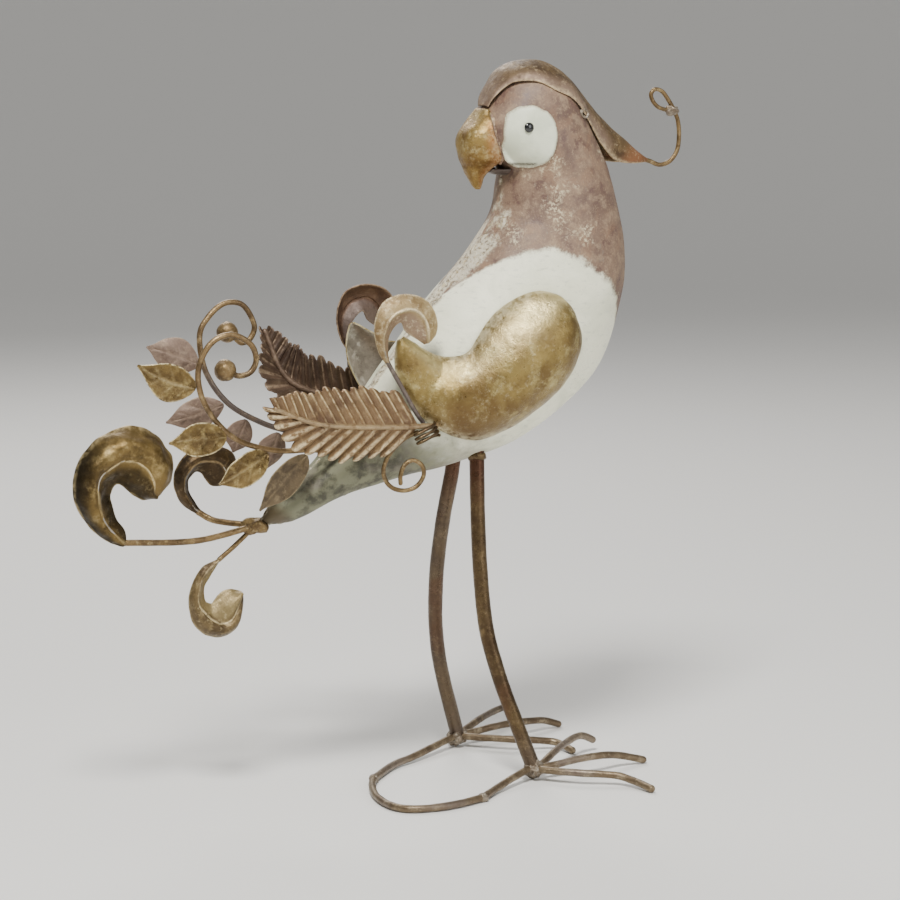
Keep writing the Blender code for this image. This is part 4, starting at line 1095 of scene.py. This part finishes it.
def make_eye(body, word, side):
    """A thin enamelled disc that follows the head's side, and a glossy bead on it for a pupil."""
    segments, rings = 96, 22
    centre_x, centre_z = EYE_CENTRE
    verts, edge, grit = [], [], []
    for ring in range(rings + 1):
        for k in range(segments if ring else 1):
            angle = 2 * math.pi * k / segments
            reach = ring / rings * eye_outline(angle)
            x = centre_x + EYE_HALF_SIZE[0] * reach * math.cos(angle)
            z = centre_z + EYE_HALF_SIZE[1] * reach * math.sin(angle)
            # low marks the dark line near the disc's bottom: grit, and painted shadow.
            low = peak(z - (centre_z - 17.5 + 0.03 * (x - 97)), 0.9) * ease(abs(x - 96), 9, 7)
            scraped = low * (0.5 + 0.5 * math.sin(x * 3.1) * math.sin(x * 1.3 + 1))
            resting = max(abs(body.side(x, z, side) or 0.0), EYE_LEAST_Y)
            y = side * (resting + EYE_LIFT + 0.5 * scraped - 0.5 * ease(ring, rings - 2, rings))
            verts.append(Vector((x, y, z)))
            edge.append(ease(ring / rings, 0.9, 1.0))
            grit.append(low)
    faces = [(0, 1 + k, 1 + (k + 1) % segments) for k in range(segments)]
    for ring in range(rings - 1):
        for k in range(segments):
            a, b = 1 + ring * segments + k, 1 + ring * segments + (k + 1) % segments
            faces.append((a, a + segments, b + segments, b))
    if side > 0:
        faces = [face[::-1] for face in faces]
    disc = mesh_object(f"eye_disc_{word}_fine", verts, faces, "eye_enamel", {"edge": edge, "grit": grit})
    thickened(disc, EYE_SHEET)
    finished(disc, "eye_white", f"eye_disc_{word}")

    x, z = PUPIL_CENTRE
    centre = (x, body.side(x, z, side) + side * (EYE_LIFT + 1.0), z)
    radii = (PUPIL_RADIUS, 2.0, PUPIL_RADIUS)
    pupil = blob(f"pupil_{word}_fine", centre, radii, "pupil_enamel", ((0.12, 2.5, 1.0),))
    finished(pupil, "pupil_black", f"pupil_{word}")


# Side trim


def make_wing(body, word, side):
    """A domed comma of sheet, its edge lying on the body's side."""
    shift_x, shift_z = LEFT_WING_SHIFT if side > 0 else (0.0, 0.0)
    flat = [(*inner, *outer, height) for inner, outer, height in WING_STATIONS]

    def cell(share, across):
        inner_x, inner_z, outer_x, outer_z, height = between(flat, share)
        t = (1 - math.cos(math.pi * across)) / 2
        x = inner_x + (outer_x - inner_x) * t + shift_x
        z = inner_z + (outer_z - inner_z) * t + shift_z
        rest = max(abs(body.side(x, z, side) or 0.0), WING_REST)
        y = side * (rest + 1.2 + height * max(math.sin(math.pi * t), 0.0) ** 0.62)
        ends = max(1 - ease(share, 0.0, 0.03), ease(share, 0.97, 1.0))
        edge = max(ends, 1 - ease(WING_GRID[1] * min(across, 1 - across), 2, 7))
        # The stain value makes the wing browner and darker towards its bottom, at the tail end.
        stain = 0.75 * (1 - ease(z, 238, 272)) * (1 - ease(x, 50, 90))
        # The last value paints a highlight: lighter gold along the upper edge, strongest on the bulge.
        return Vector((x, y, z)), edge, stain, peak(t - 0.16, 0.14) * (0.45 + 0.5 * ease(share, 0.5, 0.72))

    rows, edges, stains, painted_highlight = grids(*WING_GRID, cell)
    rows, painted_highlight = facing(side, rows, painted_highlight)
    rows = dented(smoothed(rows, 2), (1.1, 22.0, 4.0 * side), (0.45, 8.0, 2.0), (0.16, 3.2, 6.0))
    masks = {"edge": edges, "stain": stains, "inner": painted_highlight}
    wing = sheet(f"wing_{word}_fine", rows, "wing_gold", WING_SHEET, masks, "wing_inside")
    finished(wing, "wing_gold" if side < 0 else "left_bronze", f"wing_{word}")


def dome_places(station, bead):
    """Across a horn's dome, from its rim to its ridge: (x, z, height, edge, inner, ridge, shade)."""
    ox, oz, rx, rz, _, _, lift, rise = station
    width = math.hypot(rx - ox, rz - oz)
    for k in range(DOME_COLUMNS):
        t = 1 - (1 - k / (DOME_COLUMNS - 1)) ** 1.4
        line = peak((1 - t) * width, RIDGE_WIDTH)
        height = lift * t + rise * math.sin(math.pi * t) + bead * (line + 0.4 * peak(t * width, RIM_WIDTH))
        shade = 1 - ease(t, 0.15, 0.75)
        yield ox + (rx - ox) * t, oz + (rz - oz) * t, height, 1 - ease(t, 0.0, 0.14), 0.0, line, shade


def flank_places(station, bead, swell):
    """Across a horn's flank, from its ridge to its inner edge, as dome_places gives them."""
    _, _, rx, rz, ix, iz, lift, _ = station
    width = math.hypot(ix - rx, iz - rz)
    for k in range(1, FLANK_COLUMNS + 1):
        t = (k / FLANK_COLUMNS) ** 1.3
        line = peak(t * width, RIDGE_WIDTH)
        height = lift * (1 - t) ** 1.25 + swell * math.sin(math.pi * min(t * 1.15, 1.0)) + bead * line
        edge, shade = 0.6 * ease(t, 0.88, 1.0), ease(t, 0.4, 1.0)
        yield rx + (ix - rx) * t, rz + (iz - rz) * t, height, edge, ease(t, 0.05, 0.3), line, shade


def make_horn(name, stations, y, side, material, inside, shift, steps, waves, bead, bulge, shade):
    """A curled horn of sheet: a dome from the outer edge to a raised ridge line, and a flank inside it."""
    flat = [(*outer, *ridge, *inner, lift, rise) for outer, ridge, inner, lift, rise in stations]
    table = []
    for ring in range(steps + 1):
        share = ring / steps
        station = between(flat, share)
        # Painted highlight along the ridge line, fainter at both ends; the shade values below are painted
        # shade under the dome's outer rim and on the flank towards its inner edge.
        ridge_highlight = (0.25 + 0.75 * ease(share, 0.2, 0.45)) * (1 - 0.7 * ease(share, 0.82, 0.95))
        under = shade * (1 - ease(share, 0.35, 0.6))
        places = [(*p, under) for p in dome_places(station, bead)]
        swell = bulge * ease(share, 0.45, 0.75)
        places += [(*p, 0.6 * shade) for p in flank_places(station, bead, swell)]
        table.append([
            (Vector((x + shift[0], y + side * height, z + shift[1])), edge, inner, ridge_highlight * line, dark * most)
            for x, z, height, edge, inner, line, dark, most in places
        ])
    rows, *masks = ([[cell[i] for cell in row] for row in table] for i in range(5))
    rows = dented(rows, *waves)
    rows, *masks = facing(grid_normal(rows, steps // 2, DOME_COLUMNS // 2).y * side, rows, *masks)
    named = dict(zip(("edge", "inner", "ridge", "painted_shade"), masks))
    return sheet(name, rows, material, TRIM_SHEET, named, inside)


def fern_side(frames, half, upper):
    """Half a fern: its leaflets run side by side, each with a raised rib, and end in notched tips."""
    lengths, angles, fold, leaflets, rib_share, rib_height, notch = half
    fold = math.radians(fold)

    def cell(share, v):
        centre, along, out, up = frames(share)
        phase = share * leaflets % 1.0
        rib = peak(phase - 0.5, rib_share)
        lean = math.radians(single(angles, share))
        direction = along * math.cos(lean) + (up if upper else -up) * math.sin(lean) * math.cos(fold)
        direction = (direction - out * math.sin(lean) * math.sin(fold)).normalized()
        length = single(lengths, share) * (1 + 0.05 * math.sin(4.7 * int(share * leaflets)))
        length *= 1 - notch * (1 - math.sin(math.pi * phase)) ** 1.4
        grown = ease(v, 0.02, 0.16) * (1 - 0.4 * ease(v, 0.8, 1.0))
        point = centre + direction * length * v + out * (rib * rib_height * grown - 0.9 * v * v)
        # Lighter along each leaflet's rib, as wear and painted highlight; the last value is painted shade in
        # the creases between the ribs.
        edge = ease(rib, 0.65, 1.0) * (0.45 + 0.55 * ease(v, 0.2, 0.8))
        return point, edge, (1 - ease(rib, 0.0, 0.3)) * ease(v, 0.02, 0.1) * min(3.0 * rib_share, 1.0)

    return grids(*FERN_GRID, cell)


def fern_frames(path, side):
    """A function of the share along the midrib: (centre, along, out, up)."""

    def at(share):
        position = share * (len(path) - 1)
        k = min(int(position), len(path) - 2)
        centre = path[k].lerp(path[k + 1], position - k)
        along = (path[min(k + 2, len(path) - 1)] - path[max(k - 1, 0)]).normalized()
        out = Vector((0, side, 0))
        out = (out - along * out.dot(along)).normalized()
        return centre, along, out, out.cross(along) * side

    return at


def make_binding(word, side, centre, long_way):
    """Turns of thin wire, drawn out along long_way, that hold a fern's stem to its neighbours."""
    wide, deep, turns, pitch, steps = 8.0, 3.0, 3, 3.0, 20
    outward = Vector((0, side, 0))
    axis = Vector(long_way).cross(outward).normalized()
    helix = []
    for k in range(turns * steps + 1):
        turn = 2 * math.pi * k / steps
        offset = Vector(long_way).normalized() * wide * math.cos(turn) + outward * deep * math.sin(turn)
        helix.append(centre + offset + axis * pitch * (k / steps - turns / 2))
    wrap = tube(f"fern_binding_{word}_fine", helix, BINDING_RADIUS, "leg_bronze", 10, 0.1, 0.9, 4.0)
    finished(wrap, "wire_bronze", f"fern_binding_{word}")


def make_fern(word, side):
    """A stamped leaf in two folded halves, and the rod that carries it."""
    right = side < 0
    material, slot = ("fern_copper", "fern_bronze") if right else ("fern_dark", "left_bronze")
    midrib, upper_half, lower_half = FERNS[word]
    frames = fern_frames(smooth_route(midrib, 2.0), side)
    halves = zip(fern_side(frames, lower_half, False), fern_side(frames, upper_half, True))
    joined = [[a[::-1] + b[1:] for a, b in zip(lower, upper)] for lower, upper in halves]
    rows, edges, painted_shades = facing(-side, *joined)
    masks = {"edge": edges, "painted_shade": painted_shades}
    leaf = sheet(f"fern_{word}_fine", dented(rows, (0.35, 9.0, 3.0)), material, FERN_SHEET, masks)
    finished(leaf, slot, f"fern_{word}")

    stem = frames(0)[1] * -FERN_STEM
    lift = FERN_ROD_LIFT * -side
    route = [frames(s / 8)[0] + frames(s / 8)[2] * lift for s in range(9)]
    route = [route[0] + stem, route[0] + stem * 0.5, *route, route[-1] + frames(1)[1] * 1.5]
    # The rod's ridge value lightens it in the worn colour, as wear and painted highlight, more on the right
    # side's rod.
    thick, painted_highlight = (1.9, 0.3) if right else (2.4, 0.1)
    rod = tube(
        f"fern_midrib_{word}_fine", route, lambda share: thick - 0.5 * share, material, 14, 0.1, 1.3, 5.0,
        {"ridge": lambda share, p: painted_highlight},
    )
    finished(rod, slot, f"fern_midrib_{word}")
    centre = route[0].lerp(route[2], 0.35) + Vector((-3.2, side, -5.0))
    make_binding(word, side, centre, (0.93, 0, 0.37))


def make_side_trim(body, word, side):
    """One side's wing, fern, scroll with its stem, and curl."""
    right = side < 0
    shift = (0.0, 0.0) if right else LEFT_SCROLL_SHIFT
    slot = "fern_bronze" if right else "left_bronze"
    make_wing(body, word, side)
    make_fern(word, side)
    horn, inside = ("scroll_gold", "wing_inside") if right else ("far_bronze", None)
    waves = ((0.25, 6.0, 2.0), (0.12, 2.5, 3.0))
    scroll = make_horn(
        f"scroll_{word}_fine", SCROLL_STATIONS, side * SCROLL_Y, side, horn, inside, shift, SCROLL_STEPS,
        waves, 0.9, 0.0, 0.5,
    )
    finished(scroll, slot, f"scroll_{word}")
    stem = tube(f"scroll_stem_{word}_fine", SCROLL_STEMS[word], CURL_RADIUS, "wire_grey", seed=3.0)
    finished(stem, slot, f"scroll_stem_{word}")
    route = CURL_ROUTE
    if not right:
        route = [(x + LEFT_CURL_SHIFT[0], -y, z + LEFT_CURL_SHIFT[1]) for x, y, z in CURL_ROUTE]
    wire = "wire_gold" if right else "wire_grey"
    curl = tube(f"curl_wire_{word}_fine", route, CURL_RADIUS, wire, 16, 0.07, 1.2, 7.0)
    finished(curl, slot, f"curl_wire_{word}")


# Tail, twigs and leaves


def leaf_veins(share, v):
    """Height of the middle and side veins at this place on a leaf, v from -1 to 1 across it."""
    phase = (share * 4.2 - abs(v)) % 1.0
    side_vein = peak(phase - 0.5, 0.09) * ease(abs(v), 0.06, 0.2) * (1 - ease(abs(v), 0.6, 0.85))
    return peak(v, 0.09), side_vein


def make_leaf(name, twig, base, tip, half_width, droop):
    """A small pointed leaf of sheet with pressed veins, cupped along its middle, welded to its twig."""
    side = 1 if base[1] > 0 else -1
    base, tip = Vector(base), Vector(tip)
    along = (tip - base).normalized()
    twig_path = smooth_route(twig, 2.0)
    while min((base - point).length for point in twig_path) < LEAF_STANDOFF:
        base += along * 0.2
    out = Vector((0, side, 0))
    right_way = out.cross(along).normalized()
    length = (tip - base).length
    seed = half_width + length

    def cell(share, across):
        v = 2 * across - 1
        power = 0.8 + 0.45 * ease(share, 0.6, 0.95)
        width = half_width * (0.05 + 0.97 * max(math.sin(math.pi * share**0.85), 0.0) ** power)
        width *= 1 + 0.04 * math.sin(9 * share + seed)
        sag = Vector((0, 0, droop * math.sin(math.pi * share)))
        flat = base + along * length * share - sag + right_way * width * v
        middle, side_vein = leaf_veins(share, v)
        curl = 2.2 * math.sin(2.2 * share + seed) * share
        height = width * 0.25 * abs(v) ** 1.5 + curl + 0.7 * middle + 0.55 * side_vein
        height += 0.9 * rumple(flat, 7.0, seed)
        edge = max(ease(abs(v), 0.92, 1.0), 0.1 * side_vein, 0.18 * middle)
        # Painted shade in the hollows beside the middle vein, between the side veins.
        painted_shade = 0.6 * (1 - side_vein) * ease(abs(v), 0.1, 0.2) * (1 - ease(abs(v), 0.3, 0.6))
        return flat + out * height, edge, painted_shade

    rows, edges, painted_shades = facing(-side, *grids(*LEAF_GRID, cell))
    slot = "wing_gold" if side < 0 else "left_bronze"
    material = "leaf_pink" if side > 0 else "leaf_brown" if name == "leaf_right_tail" else "leaf_gold"
    leaf = sheet(f"{name}_fine", rows, material, LEAF_SHEET, {"edge": edges, "painted_shade": painted_shades})
    finished(leaf, slot, name)


def make_tail():
    """The plumes, their stems and the weld that holds them to the tail."""
    for name, (stations, y, material, slot, uneven, bead, bulge, shade) in PLUMES.items():
        waves = ((1.6 * uneven, 13.0, 2.0), (0.9 * uneven, 6.0, 7.0), (0.2 * uneven, 2.4, 3.0))
        plume = make_horn(
            f"{name}_fine", stations, y, -1, material, "wing_inside", (0, 0), PLUME_STEPS,
            waves, bead, bulge, shade,
        )
        finished(plume, slot, name)
    waves = ((2.4, 5.5, 3.0), (0.8, 2.2, 5.0), (0.3, 1.1, 2.0))
    weld = blob("tail_weld_fine", TAIL_WELD_CENTRE, TAIL_WELD_RADII, "weld_gold", waves)
    finished(weld, "wire_bronze", "tail_weld")
    for name, (route, radius) in PLUME_STEMS.items():
        finished(tube(f"{name}_fine", route, radius, "wire_gold", seed=radius), "wire_bronze", name)


def make_twigs():
    """The hooked twigs with their balls and leaves."""
    for word, (route, centre, slot, gilt_from) in TWIGS.items():
        route = [*route, Vector(route[-1]).lerp(Vector(centre), 0.35)]
        masks = {"inner": lambda share, p, level=gilt_from: 1 - ease(p.z, level, level + 25)}
        twig = tube(f"twig_{word}_fine", route, TWIG_RADIUS, "twig_wire", seed=4.0, masks=masks)
        finished(twig, slot, f"twig_{word}")
        radii = (BALL_RADIUS, BALL_RADIUS, BALL_RADIUS)
        waves = ((0.35, 4.0, 2.0), (0.15, 1.5, 4.0))
        ball = blob(f"twig_ball_{word}_fine", centre, radii, "wire_gold", waves)
        finished(ball, slot, f"twig_ball_{word}")
    for name, base, tip, half_width, droop in LEAVES:
        make_leaf(name, TWIGS["right" if base[1] < 0 else "left"][0], base, tip, half_width, droop)


# Legs and feet


def make_leg(body, word, route):
    """A leg with its welds at the belly and on the foot, where the toes meet."""
    grey = 0.0 if word == "right" else 0.5

    def rusty(share, p):
        return max(1 - ease(share, 0.05, 0.26), 0.45 * ease(rumple(p, 26.0, 2.0), 0.15, 0.4))

    masks = {"stain": rusty, "inner": lambda share, p: grey + (1 - grey) * 0.6 * ease(share, 0.85, 1.0)}
    leg = tube(f"leg_{word}_fine", route, LEG_RADIUS, "leg_bronze", 20, 0.035, 2.0, 9.0, masks)
    finished(leg, "wire_bronze", f"leg_{word}")
    top, below = Vector(route[0]), Vector(route[1])
    axis = (top - below).normalized()
    centre = body.tree.ray_cast(below, axis)[0] - axis
    weld = lumpy_ring(f"hip_weld_{word}_fine", centre, axis, LEG_RADIUS + 0.2, 1.0, 4.5, "leg_bronze", 5.0)
    finished(weld, "wire_bronze", f"hip_weld_{word}")
    ankle = Vector(route[-1]) + Vector((0, 0, -0.8))
    radii = (ANKLE_RADIUS * 1.1, ANKLE_RADIUS, ANKLE_RADIUS * 0.95)
    waves = ((2.2, 5.0, 3.0), (1.1, 2.4, 5.0), (0.4, 1.1, 6.0))
    weld = blob(f"ankle_weld_{word}_fine", ankle, radii, "weld_silver", waves, 0.0, 5)
    finished(weld, "wire_bronze", f"ankle_weld_{word}")
    return ankle


def make_legs(body):
    """Both legs, their toes, and the wires that join the heels."""
    ankles = {word: make_leg(body, word, route) for word, route in LEG_ROUTES.items()}
    masks = {"inner": lambda share, p: 0.5 * ease(rumple(p, 30.0, 7.0), 0.0, 0.4)}
    for name, route in TOE_ROUTES.items():
        if name != "heel_loop":
            ankle = ankles["right" if name.endswith("right") else "left"]
            route = [Vector(route[0]).lerp(ankle, 0.75), *route]
        wire = tube(f"{name}_fine", route, TOE_RADIUS, "toe_bronze", 16, 0.08, 1.5, 1.0, masks)
        finished(wire, "wire_bronze", name)
    loop = TOE_ROUTES["heel_loop"]
    for k, (end, back) in enumerate(((loop[0], loop[1]), (loop[-1], loop[-2]))):
        along = (Vector(end) - Vector(back)).normalized()
        centre = Vector(end) + along * 0.6
        joint = lumpy_ring(f"heel_joint_{k}", centre, along, TOE_RADIUS, 0.7, 5.0, "weld_silver", 2.0 + k)
        for vert in joint.data.vertices:
            vert.co.z = max(vert.co.z, 0.0)
        finished(joint, "wire_bronze")


# Stage


def make_floor():
    """A pale round floor that sweeps up far from the object, so that no horizon shows."""
    paint = Finish("pale_floor")
    paint.shader.inputs["Base Color"].default_value = (0.8, 0.79, 0.77, 1.0)
    paint.shader.inputs["Roughness"].default_value = 0.8
    flat_radius, sweep_radius, segments = 3.5, 3.0, 96
    profile = [(flat_radius, 0.0)]
    for turn in (0.1 * k for k in range(1, 13)):
        rise = sweep_radius - sweep_radius * math.cos(turn)
        profile.append((flat_radius + sweep_radius * math.sin(turn), rise))
    turns = [2 * math.pi * k / segments for k in range(segments)]
    work = bmesh.new()
    rings = [
        [work.verts.new((radius * math.cos(t), radius * math.sin(t), height)) for t in turns]
        for radius, height in profile
    ]
    work.faces.new(rings[0])
    for near, far in zip(rings, rings[1:]):
        for k in range(segments):
            work.faces.new((near[k], far[k], far[(k + 1) % segments], near[(k + 1) % segments]))
    mesh = bpy.data.meshes.new("floor")
    work.to_mesh(mesh)
    work.free()
    mesh.materials.append(paint.material)
    mesh.shade_smooth()
    floor = bpy.data.objects.new("floor", mesh)
    bpy.context.scene.collection.objects.link(floor)


def set_up(name, data, location, direction):
    """Puts a light or a camera in the scene, looking along the direction."""
    obj = bpy.data.objects.new(name, data)
    obj.location = location
    obj.rotation_mode = "QUATERNION"
    obj.rotation_quaternion = direction.to_track_quat("-Z", "Y")
    bpy.context.scene.collection.objects.link(obj)
    return obj


def make_studio():
    """Floor, soft lights, even surroundings and the camera."""
    make_floor()
    for name, location, size, power, colour in SOFTBOXES:
        data = bpy.data.lights.new(name, "AREA")
        data.shape = "SQUARE"
        data.size = size
        data.energy = power
        data.color = colour
        set_up(name, data, location, Vector(CAMERA_TARGET) - Vector(location))
    world = bpy.data.worlds.new("studio")
    world.use_nodes = True
    background = world.node_tree.nodes["Background"]
    background.inputs["Color"].default_value = (0.9, 0.9, 0.89, 1.0)
    background.inputs["Strength"].default_value = 0.38
    bpy.context.scene.world = world

    azimuth, elevation = math.radians(CAMERA_AZIMUTH), math.radians(CAMERA_ELEVATION)
    level = math.cos(elevation)
    forward = Vector((math.sin(azimuth) * level, math.cos(azimuth) * level, -math.sin(elevation)))
    data = bpy.data.cameras.new("camera")
    data.lens = CAMERA_LENS
    data.sensor_width = 36.0
    location = Vector(CAMERA_TARGET) - forward * CAMERA_DISTANCE
    bpy.context.scene.camera = set_up("camera", data, location, forward)


def main():
    make_studio()
    make_materials()
    body = Body()
    make_seam()
    make_beak(body)
    make_crest(body)
    for word, side in SIDES:
        make_body_half(word, side)
        make_eye(body, word, side)
        make_side_trim(body, word, side)
    make_tail()
    make_twigs()
    make_legs(body)


main()
bpy.context.view_layer.update()
